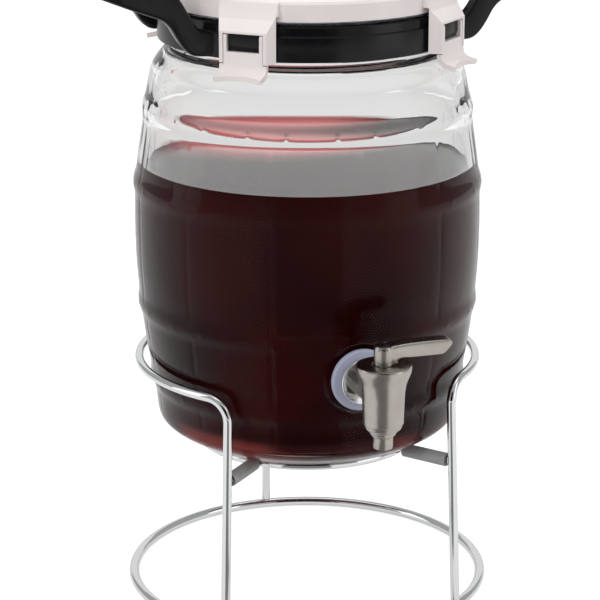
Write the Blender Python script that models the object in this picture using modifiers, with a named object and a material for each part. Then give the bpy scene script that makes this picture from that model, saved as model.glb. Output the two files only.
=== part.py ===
"""Barrel drinks dispenser: a glass jar with a lever tap, a latched lid with two ears, on a wire stand.

The jar's axis is vertical, the tap is at the front, towards -Y, and the floor is at z = 0. Angles round
the jar are measured from the front towards +X. The model is in metres, with its origin on the floor
under the middle of the whole part.
"""

import math

import bmesh
import bpy
from mathutils import Matrix, Vector

# General
GAP = 0.0003
MERGE = 0.00001
OVERRUN = 0.004
JAR_STEPS = 60
ROUND_STEPS = 40
RING_STEPS = 28
TAP_STEPS = 20
SEAL_STEPS = 16
SMALL_STEPS = 20
WIRE_SIDES = 8
SHARP_ANGLE = math.radians(35)

# Wire stand
BASE_WIRE_D = 0.0055
WIRE_D = 0.0050
HOOP_CLEAR = 0.00237
HOOP_OVER_RODS = 0.0454
LEG_SPLAY = 0.0055
LEG_BEND_R = 0.0125
LEG_ANGLE = math.radians(41)
STAND_TURN = math.radians(-3.4)
SUPPORT_INSET = 0.0076
ROD_D = 0.0045
ROD_Z = 0.0880
SLEEVE_WALL = 0.00125
SLEEVE_END_GAP = 0.0006

# Glass jar
FOOT_BAND = 0.0140
JAR_PUNT_DEPTH = 0.0020
BELLY_R = 0.0960
BARREL_HEIGHT = 0.2205
GLASS_WALL = 0.0050
GLASS_FLOOR = 0.0085
NECK_R = 0.0735
NECK_LENGTH = 0.0226
BEAD_RISE = 0.0015
BEAD_HEIGHT = 0.0077
NECK_WALL = 0.0065
LIP_ROUND = 0.0010
WALL_ROW_PITCH = 0.0400
BARREL_SHARES = (
    (0.000, 0.730),
    (0.016, 0.805),
    (0.034, 0.865),
    (0.048, 0.879),
    (0.062, 0.885),
    (0.108, 0.896),
    (0.145, 0.909),
    (0.240, 0.947),
    (0.342, 0.976),
    (0.444, 0.995),
    (0.553, 1.000),
    (0.653, 0.993),
    (0.721, 0.975),
    (0.771, 0.958),
    (0.845, 0.933),
    (0.898, 0.914),
)
SHOULDER_REACH = 0.0120
SHOULDER_SHARES = ((0.925, 1.091), (0.950, 0.923), (0.979, 0.539), (1.000, 0.195))
INNER_HEIGHT_SHARES = (0.10, 0.30, 0.55, 0.80, 0.93)
HOOP_HEIGHT_SHARES = (0.145, 0.342, 0.653, 0.845)
HOOP_BAND = 0.0086
HOOP_RISE = 0.0012
HOOP_SLOPE = 0.0018
STAVES = 12
SEAM_DEPTH = 0.0006
SEAM_WIDTH = 0.0030
SEAM_FADE = 0.0040

# Tap seat on the jar
TAP_OVER_FOOT = 0.0549
PAD_R = 0.0175
PAD_RISE = 0.0003
PAD_THICK = 0.0088
TAP_HOLE_CLEAR = 0.0010

# Tap
TAP_TOP_RISE = 0.0192
TAP_HEIGHT = 0.0457
TAP_R = 0.0146
TAP_SHARES = (
    (0.000, 0.930),
    (0.020, 1.000),
    (0.070, 0.985),
    (0.140, 0.915),
    (0.208, 0.835),
    (0.321, 0.775),
    (0.434, 0.757),
    (0.683, 0.728),
    (0.717, 0.710),
    (0.752, 0.640),
    (0.775, 0.550),
    (0.820, 0.455),
    (0.864, 0.357),
    (1.000, 0.355),
)
TAP_BOSS_WALL = 0.0020
TAP_BOSS_REACH = 0.0150
VALVE_BORE_R = 0.0052
VALVE_DEPTH = 0.0295
SPOUT_BORE_R = 0.0032
TOP_RECESS_R = 0.0061
TOP_RECESS_DEPTH = 0.0016
PORT_R = 0.0026
SEAL_WIRE_R = 0.0007
SEAL_DROP = 0.0070
SHANK_R = 0.0060
SHANK_WALL = 0.0025
SHANK_SHOULDER = 0.0015
SHANK_NECK_LENGTH = 0.0135
SHANK_TAIL = 0.0039
SOCKET_DEPTH = 0.0062
WASHER_R = 0.0170
WASHER_THICK = 0.0035
WASHER_BEVEL = 0.0012
FLANGE_R = 0.0125
FLANGE_THICK = 0.0025
INNER_WASHER_R = 0.0110
INNER_WASHER_THICK = 0.0025
NUT_FLATS = 0.0190
NUT_THICK = 0.0060

# Tap lever, which points along +X when the tap is closed
POST_R = 0.0053
STUB_R = 0.0030
STUB_RISE = 0.0050
LEVER_REACH = 0.0364
LEVER_WIDTH = 0.0094
LEVER_UNDER_RISE = 0.0037
LEVER_HEIGHT = 0.0078
LEVER_ROUND = 0.0012
POST_TOP_SHARE = 0.84
LEVER_SHARES = (
    (0.000, 0.72),
    (0.120, 0.87),
    (0.300, 0.97),
    (0.500, 1.00),
    (0.800, 1.00),
    (0.960, 0.93),
    (1.000, 0.76),
    (0.970, 0.52),
    (0.860, 0.02),
    (0.300, 0.00),
    (0.200, -0.03),
    (0.150, -0.20),
    (0.000, -0.20),
)

# Handle collar
COLLAR_TURN = math.radians(0.9)
COLLAR_BOTTOM_CLEAR = 0.0030
COLLAR_WALL = 0.0085
COLLAR_STEP = 0.0015
COLLAR_LOWER = 0.0135
COLLAR_HEIGHT = 0.0185
COLLAR_ROUND = 0.0008
LUG_WIDTH = 0.0174
LUG_REACH = 0.0050
LUG_HEIGHT = 0.0090
LUG_TOP_DROP = 0.0035
LUG_BEVEL_DEEP = 0.0013
LUG_BEVEL_TALL = 0.0028
EAR_LENGTH = 0.0760
EAR_EMBED = 0.0030
EAR_HALF_WIDTH = 0.0415
EAR_CORNER_R = 0.0260
EAR_RISE = 0.0385
EAR_ROOT_RISE = 0.0060
EAR_THICK = 0.0120
EAR_WIDE = 0.0090
EAR_EDGE = 0.0022
EAR_SHARES = (
    (0.000, 0.000),
    (0.095, 0.000),
    (0.125, 0.018),
    (0.155, 0.065),
    (0.208, 0.200),
    (0.284, 0.353),
    (0.363, 0.457),
    (0.420, 0.519),
    (0.567, 0.668),
    (0.771, 0.852),
    (1.000, 1.000),
)

# Lid
GASKET_THICK = 0.0026
LID_LIP_WALL = 0.0016
LID_LIP = 0.0019
LID_RIM_HEIGHT = 0.0090
LID_EDGE = 0.0022
LID_BORDER = 0.0185
LID_PANEL_SLOPE = 0.0040
LID_PANEL_RISE = 0.0022
LID_CROWN = 0.0020
LID_WALL = 0.0030
SKIRT_CLEAR = 0.0007
SKIRT_DEPTH = 0.0060
SKIRT_WALL = 0.0028

# Latches and their housings on the lid
CLIP_ANGLE = math.radians(41)
LATCH_WIDTH = 0.0218
LATCH_THICK = 0.0026
WINDOW_CLEAR = 0.0004
HINGE_EYE_R = 0.0013
HINGE_DROP = 0.0017
TRUNNION_R = 0.0008
TRUNNION_LENGTH = 0.0012
CHEEK = 0.0020
HOUSING_DRAFT = 0.0029
HOUSING_OVER_LUG = 0.0017
HOUSING_ROOT = 0.0060
HOUSING_FLOOR_DROP = 0.0057
CHEEK_LENGTH = 0.0153
FLARE_R = 0.0042
FLARE_START_DROP = 0.0146
FLARE_SWEEP = math.radians(78)
TAB_LENGTH = 0.0050
LIP_CLEAR = 0.0006
SCALLOP_R = 0.0300
SCALLOP_DEPTH = 0.0030
HOUSING_SHARES = (
    (0.00, 1.000),
    (0.20, 0.960),
    (0.32, 0.720),
    (0.50, 0.440),
    (0.84, 0.190),
    (1.00, 0.060),
    (1.00, 0.000),
)


def smooth_through(stations, at):
    """The smooth curve through (place, value) stations, read at one place."""
    last = len(stations) - 1
    index = 0
    while index < last - 1 and at > stations[index + 1][0]:
        index += 1
    before = stations[max(index - 1, 0)]
    start, end = stations[index], stations[index + 1]
    after = stations[min(index + 2, last)]
    span = end[0] - start[0]
    share = min(max((at - start[0]) / span, 0.0), 1.0)
    rate_in = (end[1] - before[1]) / (end[0] - before[0])
    rate_out = (after[1] - start[1]) / (after[0] - start[0])
    a = 2 * share**3 - 3 * share**2 + 1
    b = share**3 - 2 * share**2 + share
    c = 3 * share**2 - 2 * share**3
    d = share**3 - share**2
    return a * start[1] + b * span * rate_in + c * end[1] + d * span * rate_out


def barrel_radius(height):
    """The outer radius of the smooth glass wall, from shares of the belly and of the shoulder's reach."""
    stations = [(place, BELLY_R * value) for place, value in BARREL_SHARES]
    stations += [(place, NECK_R + SHOULDER_REACH * value) for place, value in SHOULDER_SHARES]
    return smooth_through(stations, (height - JAR_FOOT_Z) / BARREL_HEIGHT)


# Derived places
FLOOR_WIRE_Z = BASE_WIRE_D / 2 * math.cos(math.pi / WIRE_SIDES)
SLEEVE_BORE_R = ROD_D / 2 + GAP
SLEEVE_R = SLEEVE_BORE_R + SLEEVE_WALL
JAR_FOOT_Z = ROD_Z + SLEEVE_R + GAP
SHOULDER_Z = JAR_FOOT_Z + BARREL_HEIGHT
JAR_FOOT_R = barrel_radius(JAR_FOOT_Z)
JAR_PUNT_R = JAR_FOOT_R - FOOT_BAND
MOUTH_R = NECK_R - NECK_WALL
SUPPORT_RING_R = JAR_FOOT_R - SUPPORT_INSET
HOOP_Z = ROD_Z + HOOP_OVER_RODS
HOOP_R = barrel_radius(HOOP_Z) + HOOP_RISE + HOOP_CLEAR + WIRE_D / 2
BASE_RING_R = HOOP_R + LEG_SPLAY
MOUTH_Z = SHOULDER_Z + NECK_LENGTH
BEAD_R = NECK_R + BEAD_RISE
BEAD_Z = MOUTH_Z - BEAD_HEIGHT
TAP_Z = JAR_FOOT_Z + TAP_OVER_FOOT
TAP_HOLE_R = SHANK_R + TAP_HOLE_CLEAR
PAD_FACE = barrel_radius(TAP_Z) + PAD_RISE
PAD_BACK = PAD_FACE - PAD_THICK
SHANK_BORE_R = SHANK_R - SHANK_WALL
SHANK_NECK_R = SHANK_R + SHANK_SHOULDER
SHANK_NECK_FACE = PAD_FACE + WASHER_THICK + FLANGE_THICK + 3 * GAP
SHANK_INNER_END = PAD_BACK - INNER_WASHER_THICK - NUT_THICK - 2 * GAP - SHANK_TAIL
TAP_BOSS_R = SHANK_R + TAP_BOSS_WALL
TAP_BOSS_FACE = SHANK_NECK_FACE + SHANK_NECK_LENGTH + GAP
TAP_AXIS_R = TAP_BOSS_FACE + TAP_BOSS_REACH
TAP_TOP_Z = TAP_Z + TAP_TOP_RISE
VALVE_FLOOR_Z = TAP_TOP_Z - VALVE_DEPTH
LEVER_UNDER_Z = TAP_TOP_Z + LEVER_UNDER_RISE
COLLAR_R = NECK_R + COLLAR_WALL
COLLAR_STEP_R = COLLAR_R - COLLAR_STEP
LUG_R = COLLAR_R + LUG_REACH
LID_R = COLLAR_STEP_R
LID_SHOULDER_R = LID_R - LID_BORDER
LID_PANEL_R = LID_SHOULDER_R - LID_PANEL_SLOPE
GASKET_R = LID_R - LID_LIP_WALL - GAP
GASKET_INNER_R = MOUTH_R + GAP
HOUSING_FACE = LUG_R + HOUSING_OVER_LUG
HOUSING_ROOT_R = LID_R - HOUSING_ROOT
EAR_ROOT = math.sqrt(COLLAR_STEP_R**2 - EAR_HALF_WIDTH**2) - EAR_EMBED
EAR_REACH = EAR_ROOT + EAR_LENGTH
COLLAR_Z = SHOULDER_Z + COLLAR_BOTTOM_CLEAR
COLLAR_TOP_Z = COLLAR_Z + COLLAR_HEIGHT
LUG_TOP_Z = COLLAR_TOP_Z - LUG_TOP_DROP
LUG_BOTTOM_Z = LUG_TOP_Z - LUG_HEIGHT
GASKET_Z = MOUTH_Z + GAP
LID_SEAT_Z = GASKET_Z + GASKET_THICK + GAP
LID_RIM_Z = LID_SEAT_Z - LID_LIP
LID_TOP_Z = LID_RIM_Z + LID_RIM_HEIGHT + LID_EDGE
HOUSING_FLOOR_Z = LID_RIM_Z - HOUSING_FLOOR_DROP
HINGE_R = LUG_R - LUG_BEVEL_DEEP + GAP / 2 + LATCH_THICK / 2
HINGE_Z = HOUSING_FLOOR_Z - HINGE_DROP
PLATE_TOP_Z = LUG_BOTTOM_Z - GAP
FRONT_REACH = TAP_AXIS_R + TAP_R
BACK_REACH = BASE_RING_R + BASE_WIRE_D / 2 * math.cos(math.pi / WIRE_SIDES)
CLIPS = {
    "front_left": -CLIP_ANGLE,
    "front_right": CLIP_ANGLE,
    "back_left": CLIP_ANGLE - math.pi,
    "back_right": math.pi - CLIP_ANGLE,
}
SUPPORTS = {"left": -LEG_ANGLE, "right": LEG_ANGLE, "back": math.pi}

# Colours as (red, green, blue), roughness, metallic, transmission
FINISHES = {
    "chrome_wire": ((0.80, 0.81, 0.82), 0.10, 1.0, 0.0),
    "brushed_steel": ((0.62, 0.58, 0.54), 0.34, 1.0, 0.0),
    "clear_glass": ((0.95, 0.97, 0.96), 0.02, 0.0, 1.0),
    "black_plastic": ((0.012, 0.012, 0.014), 0.32, 0.0, 0.0),
    "lid_plastic": ((0.80, 0.73, 0.71), 0.38, 0.0, 0.0),
    "clear_silicone": ((0.62, 0.66, 0.78), 0.45, 0.0, 0.3),
    "grey_sleeve": ((0.42, 0.43, 0.44), 0.45, 0.0, 0.2),
}


def clear_scene():
    for obj in list(bpy.data.objects):
        bpy.data.objects.remove(obj, do_unlink=True)


def new_collection(name):
    collection = bpy.data.collections.new(name)
    bpy.context.scene.collection.children.link(collection)
    return collection


def finish_material(name):
    """The named finish as a Principled material, made once."""
    if name in bpy.data.materials:
        return bpy.data.materials[name]
    colour, roughness, metallic, transmission = FINISHES[name]
    material = bpy.data.materials.new(name)
    material.use_nodes = True
    shader = material.node_tree.nodes["Principled BSDF"]
    shader.inputs["Base Color"].default_value = (*colour, 1.0)
    shader.inputs["Roughness"].default_value = roughness
    shader.inputs["Metallic"].default_value = metallic
    shader.inputs["Transmission Weight"].default_value = transmission
    material.diffuse_color = (*colour, 1.0)
    return material


def add_frame(name, parent=None, location=(0, 0, 0), turn=0.0):
    """An empty that carries the pieces of one assembly."""
    frame = bpy.data.objects.new(name, None)
    PARTS.objects.link(frame)
    frame.parent = parent
    frame.location = location
    frame.rotation_euler = (0, 0, turn)
    return frame


def add_piece(name, data, finish, parent):
    """An object of the model, which becomes one node."""
    data.materials.append(finish_material(finish))
    obj = bpy.data.objects.new(name, data)
    PARTS.objects.link(obj)
    obj.parent = parent
    return obj


def add_helper(name, data, parent):
    """A cutter or a shape to be joined, which isn't drawn."""
    obj = bpy.data.objects.new(name, data)
    CUTTERS.objects.link(obj)
    obj.parent = parent
    obj.hide_render = True
    obj.display_type = "WIRE"
    return obj


def shade(mesh):
    mesh.shade_smooth()
    mesh.set_sharp_from_angle(angle=SHARP_ANGLE)
    return mesh


def baked(obj):
    """The object's evaluated mesh, welded, as new data."""
    bpy.context.view_layer.update()
    evaluated = obj.evaluated_get(bpy.context.evaluated_depsgraph_get())
    mesh = bpy.data.meshes.new_from_object(evaluated)
    grid = bmesh.new()
    grid.from_mesh(mesh)
    bmesh.ops.remove_doubles(grid, verts=grid.verts, dist=MERGE)
    bmesh.ops.recalc_face_normals(grid, faces=grid.faces)
    grid.to_mesh(mesh)
    grid.free()
    mesh.name = obj.name
    return mesh


def discard(obj):
    bpy.data.objects.remove(obj, do_unlink=True)


def turned_mesh(name, outline, steps=RING_STEPS, ring=False):
    """An outline of (radius, height) points turned about Z. It runs down the outer side."""
    count = len(outline)
    edges = [(i, i + 1) for i in range(count - 1)]
    if ring:
        edges.append((count - 1, 0))
    profile = bpy.data.meshes.new(name + "_outline")
    profile.from_pydata([(r, 0, z) for r, z in outline], edges, [])
    obj = bpy.data.objects.new(name, profile)
    CUTTERS.objects.link(obj)
    screw = obj.modifiers.new("turn", "SCREW")
    screw.axis = "Z"
    screw.steps = steps
    screw.render_steps = steps
    screw.use_merge_vertices = True
    screw.merge_threshold = MERGE
    mesh = baked(obj)
    discard(obj)
    return shade(mesh)


def facing_front(mesh):
    """Turns a mesh so that its Z axis points to the front, along -Y."""
    mesh.transform(Matrix.Rotation(math.pi / 2, 4, "X"))
    return mesh


def tube_outline(inner_r, outer_r, low, high, bevel=0.0):
    """The closed outline of a plain ring, with its outer edges bevelled."""
    if not bevel:
        return [(inner_r, high), (outer_r, high), (outer_r, low), (inner_r, low)]
    return [
        (inner_r, high),
        (outer_r - bevel, high),
        (outer_r, high - bevel),
        (outer_r, low + bevel),
        (outer_r - bevel, low),
        (inner_r, low),
    ]


def torus_mesh(name, ring_r, wire_r, height, steps=RING_STEPS, sides=WIRE_SIDES):
    """A closed wire ring with a flat facet downwards."""
    outline = []
    for side in range(sides):
        angle = math.pi / 2 - (side + 0.5) * math.tau / sides
        outline.append((ring_r + wire_r * math.cos(angle), height + wire_r * math.sin(angle)))
    return turned_mesh(name, outline, steps, ring=True)


def cylinder_mesh(name, radius, low, high, steps=SMALL_STEPS):
    """A plain cylinder about Z from low to high."""
    grid = bmesh.new()
    bmesh.ops.create_cone(
        grid, cap_ends=True, segments=steps, radius1=radius, radius2=radius, depth=high - low
    )
    bmesh.ops.translate(grid, verts=grid.verts, vec=(0, 0, (low + high) / 2))
    mesh = bpy.data.meshes.new(name)
    grid.to_mesh(mesh)
    grid.free()
    return shade(mesh)


def box_mesh(name, low, high):
    """A box between two corners."""
    size = [b - a for a, b in zip(low, high)]
    middle = [(a + b) / 2 for a, b in zip(low, high)]
    grid = bmesh.new()
    bmesh.ops.create_cube(grid, size=1.0)
    bmesh.ops.scale(grid, verts=grid.verts, vec=size)
    bmesh.ops.translate(grid, verts=grid.verts, vec=middle)
    mesh = bpy.data.meshes.new(name)
    grid.to_mesh(mesh)
    grid.free()
    return mesh


def slab_mesh(name, outline, width):
    """A flat outline of (x, z) points with thickness along Y, centred on y = 0."""
    curve = bpy.data.curves.new(name, "CURVE")
    curve.dimensions = "2D"
    curve.fill_mode = "BOTH"
    curve.extrude = width / 2
    spline = curve.splines.new("POLY")
    spline.points.add(len(outline) - 1)
    for point, (x, z) in zip(spline.points, outline):
        point.co = (x, z, 0, 1)
    spline.use_cyclic_u = True
    obj = bpy.data.objects.new(name, curve)
    CUTTERS.objects.link(obj)
    mesh = baked(obj)
    discard(obj)
    mesh.transform(Matrix.Rotation(math.pi / 2, 4, "X"))
    return mesh


def wire_curve(name, points, diameter, section=None):
    """A wire along the points, with round section and filled ends."""
    curve = bpy.data.curves.new(name, "CURVE")
    curve.dimensions = "3D"
    curve.twist_mode = "Z_UP"
    curve.use_fill_caps = True
    if section is None:
        curve.bevel_depth = diameter / 2
        curve.bevel_resolution = 2
    else:
        curve.bevel_mode = "OBJECT"
        curve.bevel_object = section
    spline = curve.splines.new("POLY")
    spline.points.add(len(points) - 1)
    for point, place in zip(spline.points, points):
        point.co = (*place, 1)
    return curve


def boolean(obj, other, operation):
    modifier = obj.modifiers.new(other.name, "BOOLEAN")
    modifier.object = other
    modifier.operation = operation
    modifier.solver = "EXACT"


def around(radius, angle, height):
    """A point at that radius and height, at an angle from the front towards +X."""
    return Vector((radius * math.sin(angle), -radius * math.cos(angle), height))


def arc(centre_x, centre_z, radius, start, end, count):
    """Points along an arc, both ends included."""
    step = (end - start) / (count - 1)
    angles = [start + step * i for i in range(count)]
    return [(centre_x + radius * math.cos(a), centre_z + radius * math.sin(a)) for a in angles]


def leg_radius(height):
    """The legs lean in from the base ring to the hoop."""
    foot = FLOOR_WIRE_Z + BASE_WIRE_D / 2
    share = (height - foot) / (HOOP_Z - foot)
    return BASE_RING_R + (HOOP_R - BASE_RING_R) * min(max(share, 0.0), 1.0)


def leg_hoop_points():
    """Up the left leg, round the back of the jar and down the right leg, in one bent wire."""
    foot_z = FLOOR_WIRE_Z + BASE_WIRE_D / 2 + GAP
    bend_low = HOOP_Z - LEG_BEND_R
    half = [around(leg_radius(z), LEG_ANGLE, z) for z in (foot_z, bend_low / 2, bend_low)]
    bend_steps = 6
    for step in range(1, bend_steps + 1):
        turn = math.pi / 2 * step / bend_steps
        along = LEG_BEND_R * (1 - math.cos(turn))
        height = bend_low + LEG_BEND_R * math.sin(turn)
        half.append(around(leg_radius(height), LEG_ANGLE + along / HOOP_R, height))
    first = LEG_ANGLE + LEG_BEND_R / HOOP_R
    hoop_steps = 26
    for step in range(1, hoop_steps):
        angle = first + (math.tau - 2 * first) * step / hoop_steps
        half.append(around(HOOP_R, angle, HOOP_Z))
    mirrored = [Vector((-p.x, p.y, p.z)) for p in reversed(half[: bend_steps + 3])]
    return half + mirrored


def make_stand(stand):
    base = torus_mesh("base_ring", BASE_RING_R, BASE_WIRE_D / 2, FLOOR_WIRE_Z)
    add_piece("base_ring", base, "chrome_wire", stand)
    hoop = wire_curve("leg_hoop", leg_hoop_points(), WIRE_D)
    add_piece("leg_hoop", hoop, "chrome_wire", stand)
    foot = around(BASE_RING_R, math.pi, FLOOR_WIRE_Z + BASE_WIRE_D / 2 + GAP)
    head = around(HOOP_R, math.pi, HOOP_Z - WIRE_D / 2 - GAP)
    add_piece("back_leg", wire_curve("back_leg", [foot, head], WIRE_D), "chrome_wire", stand)
    ring = torus_mesh("support_ring", SUPPORT_RING_R, WIRE_D / 2, ROD_Z)
    add_piece("support_ring", ring, "chrome_wire", stand)
    inner = SUPPORT_RING_R + WIRE_D / 2 + GAP
    outer = leg_radius(ROD_Z) - WIRE_D / 2 - GAP
    for side, angle in SUPPORTS.items():
        rod = wire_curve(
            "support_rod_" + side, [around(inner, angle, ROD_Z), around(outer, angle, ROD_Z)], ROD_D
        )
        add_piece("support_rod_" + side, rod, "chrome_wire", stand)
        outline = tube_outline(
            SLEEVE_BORE_R, SLEEVE_R, inner + SLEEVE_END_GAP, outer - SLEEVE_END_GAP
        )
        sleeve = facing_front(turned_mesh("rod_sleeve_" + side, outline, SMALL_STEPS, ring=True))
        piece = add_piece("rod_sleeve_" + side, sleeve, "grey_sleeve", stand)
        piece.location = (0, 0, ROD_Z)
        piece.rotation_euler = (0, 0, angle)


def hoop_share(height):
    """1 on a raised hoop, 0 off it, with sloping sides."""
    found = 0.0
    for share in HOOP_HEIGHT_SHARES:
        middle = JAR_FOOT_Z + BARREL_HEIGHT * share
        inside = HOOP_BAND / 2 - abs(height - middle)
        found = max(found, min(max(inside / HOOP_SLOPE, 0.0), 1.0))
    return found


def wall_heights():
    """The heights of the rows of the outer wall, closest at the heel, the hoops and the shoulder."""
    fixed = [JAR_FOOT_Z + BARREL_HEIGHT * share for share, _ in BARREL_SHARES if share < 0.07]
    fixed.append(JAR_FOOT_Z + BARREL_HEIGHT * BARREL_SHARES[-1][0])
    fixed += [JAR_FOOT_Z + BARREL_HEIGHT * share for share, _ in SHOULDER_SHARES]
    for share in HOOP_HEIGHT_SHARES:
        middle = JAR_FOOT_Z + BARREL_HEIGHT * share
        for offset in (HOOP_BAND / 2, HOOP_BAND / 2 - HOOP_SLOPE):
            fixed += [middle - offset, middle + offset]
    fixed.sort()
    rows = [fixed[0]]
    for height in fixed[1:]:
        parts = math.ceil((height - rows[-1]) / WALL_ROW_PITCH)
        start = rows[-1]
        rows += [start + (height - start) * i / parts for i in range(1, parts + 1)]
    return rows


def jar_outline():
    """From the middle of the inner floor up to the mouth, over the lip and down the outside to the foot."""
    floor_z = JAR_FOOT_Z + GLASS_FLOOR
    inner_heights = [JAR_FOOT_Z + BARREL_HEIGHT * share for share in INNER_HEIGHT_SHARES]
    inside = [(barrel_radius(z) - GLASS_WALL, z) for z in inner_heights]
    heel_r = inside[0][0]
    heel = [(heel_r - GLASS_FLOOR, floor_z), (heel_r - GLASS_FLOOR / 4, floor_z + GLASS_FLOOR / 3)]
    outline = [(0, floor_z)] + heel + inside
    outline += [(MOUTH_R, SHOULDER_Z - GLASS_WALL / 2), (MOUTH_R, MOUTH_Z - LIP_ROUND)]
    outline += [(MOUTH_R + LIP_ROUND, MOUTH_Z), (BEAD_R - LIP_ROUND, MOUTH_Z)]
    outline += [(BEAD_R, MOUTH_Z - LIP_ROUND), (BEAD_R, BEAD_Z + BEAD_RISE), (NECK_R, BEAD_Z)]
    outline.append((NECK_R, SHOULDER_Z + COLLAR_BOTTOM_CLEAR / 2))
    for z in reversed(wall_heights()):
        outline.append((barrel_radius(z) + HOOP_RISE * hoop_share(z), z))
    punt_z = JAR_FOOT_Z + JAR_PUNT_DEPTH
    outline += [(JAR_PUNT_R, JAR_FOOT_Z), (JAR_PUNT_R - JAR_PUNT_DEPTH, punt_z), (0, punt_z)]
    return outline


def press_staves(mesh):
    """Narrows every seam column into a seam and sinks it into the outer wall, between the hoops."""
    stave = math.tau / STAVES
    column = math.tau / JAR_STEPS
    half_seam = SEAM_WIDTH / 2 / BELLY_R
    spread = (stave / 2 - half_seam) / (stave / 2 - column)
    low = JAR_FOOT_Z + BARREL_HEIGHT * BARREL_SHARES[4][0]
    high = JAR_FOOT_Z + BARREL_HEIGHT * SHOULDER_SHARES[0][0]
    for vertex in mesh.vertices:
        x, y, z = vertex.co
        radius = math.hypot(x, y)
        if radius < MOUTH_R / 2:
            continue
        angle = math.atan2(y, x)
        seam = round(angle / stave) * stave
        offset = angle - seam
        if abs(offset) > column / 2:
            moved = half_seam + (abs(offset) - column) * spread
            angle = seam + math.copysign(moved, offset)
        elif low < z < high and radius > barrel_radius(z) - GLASS_WALL / 2:
            fade = min((z - low) / SEAM_FADE, (high - z) / SEAM_FADE, 1.0)
            radius -= SEAM_DEPTH * fade * (1 - hoop_share(z))
        vertex.co = (radius * math.cos(angle), radius * math.sin(angle), z)


def make_jar(jar):
    mesh = turned_mesh("glass_jar", jar_outline(), JAR_STEPS)
    press_staves(mesh)
    piece = add_piece("glass_jar", mesh, "clear_glass", jar)
    pad = facing_front(cylinder_mesh("tap_pad", PAD_R, PAD_BACK, PAD_FACE, RING_STEPS))
    face_cut = facing_front(
        cylinder_mesh("tap_face_cut", PAD_R + GAP, PAD_FACE, PAD_FACE + OVERRUN, RING_STEPS)
    )
    hole = facing_front(
        cylinder_mesh("tap_hole", TAP_HOLE_R, PAD_BACK - OVERRUN, PAD_FACE + OVERRUN)
    )
    for name, data, operation in (
        ("tap_pad", pad, "UNION"),
        ("tap_face_cut", face_cut, "DIFFERENCE"),
        ("tap_hole", hole, "DIFFERENCE"),
    ):
        helper = add_helper(name, data, jar)
        helper.location = (0, 0, TAP_Z)
        boolean(piece, helper, operation)


def ring_on_shank(name, inner_r, outer_r, low, high, finish, jar, bevel=0.0):
    outline = tube_outline(inner_r, outer_r, low, high, bevel)
    mesh = facing_front(turned_mesh(name, outline, TAP_STEPS, ring=True))
    piece = add_piece(name, mesh, finish, jar)
    piece.location = (0, 0, TAP_Z)


def make_tap_fixings(jar):
    """The threaded shank through the glass, with its washers, flange and nut."""
    bore = SHANK_R + GAP
    washer_low = PAD_FACE + GAP
    flange_low = washer_low + WASHER_THICK + GAP
    neck_low = SHANK_NECK_FACE
    ring_on_shank(
        "outer_washer", bore, WASHER_R, washer_low, washer_low + WASHER_THICK,
        "clear_silicone", jar, WASHER_BEVEL,
    )
    ring_on_shank(
        "tap_flange", bore, FLANGE_R, flange_low, flange_low + FLANGE_THICK,
        "chrome_wire", jar, FLANGE_THICK / 4,
    )
    inner_high = PAD_BACK - GAP
    inner_low = inner_high - INNER_WASHER_THICK
    ring_on_shank(
        "inner_washer", bore, INNER_WASHER_R, inner_low, inner_high, "clear_silicone", jar
    )
    nut_high = inner_low - GAP
    nut_r = NUT_FLATS / 2 / math.cos(math.pi / 6)
    nut = facing_front(cylinder_mesh("tap_nut", nut_r, nut_high - NUT_THICK, nut_high, 6))
    piece = add_piece("tap_nut", nut, "brushed_steel", jar)
    piece.location = (0, 0, TAP_Z)
    hole = facing_front(
        cylinder_mesh("nut_bore", bore, nut_high - NUT_THICK - OVERRUN, nut_high + OVERRUN)
    )
    helper = add_helper("nut_bore", hole, jar)
    helper.location = (0, 0, TAP_Z)
    boolean(piece, helper, "DIFFERENCE")
    neck_high = TAP_BOSS_FACE - GAP
    spigot_end = TAP_BOSS_FACE + SOCKET_DEPTH - GAP
    outline = [
        (SHANK_BORE_R, spigot_end),
        (SHANK_R - GAP, spigot_end),
        (SHANK_R - GAP, neck_high),
        (SHANK_NECK_R, neck_high),
        (SHANK_NECK_R, neck_low),
        (SHANK_R, neck_low),
        (SHANK_R, SHANK_INNER_END),
        (SHANK_BORE_R, SHANK_INNER_END),
    ]
    shank = facing_front(turned_mesh("tap_shank", outline, SMALL_STEPS, ring=True))
    piece = add_piece("tap_shank", shank, "brushed_steel", jar)
    piece.location = (0, 0, TAP_Z)


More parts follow.
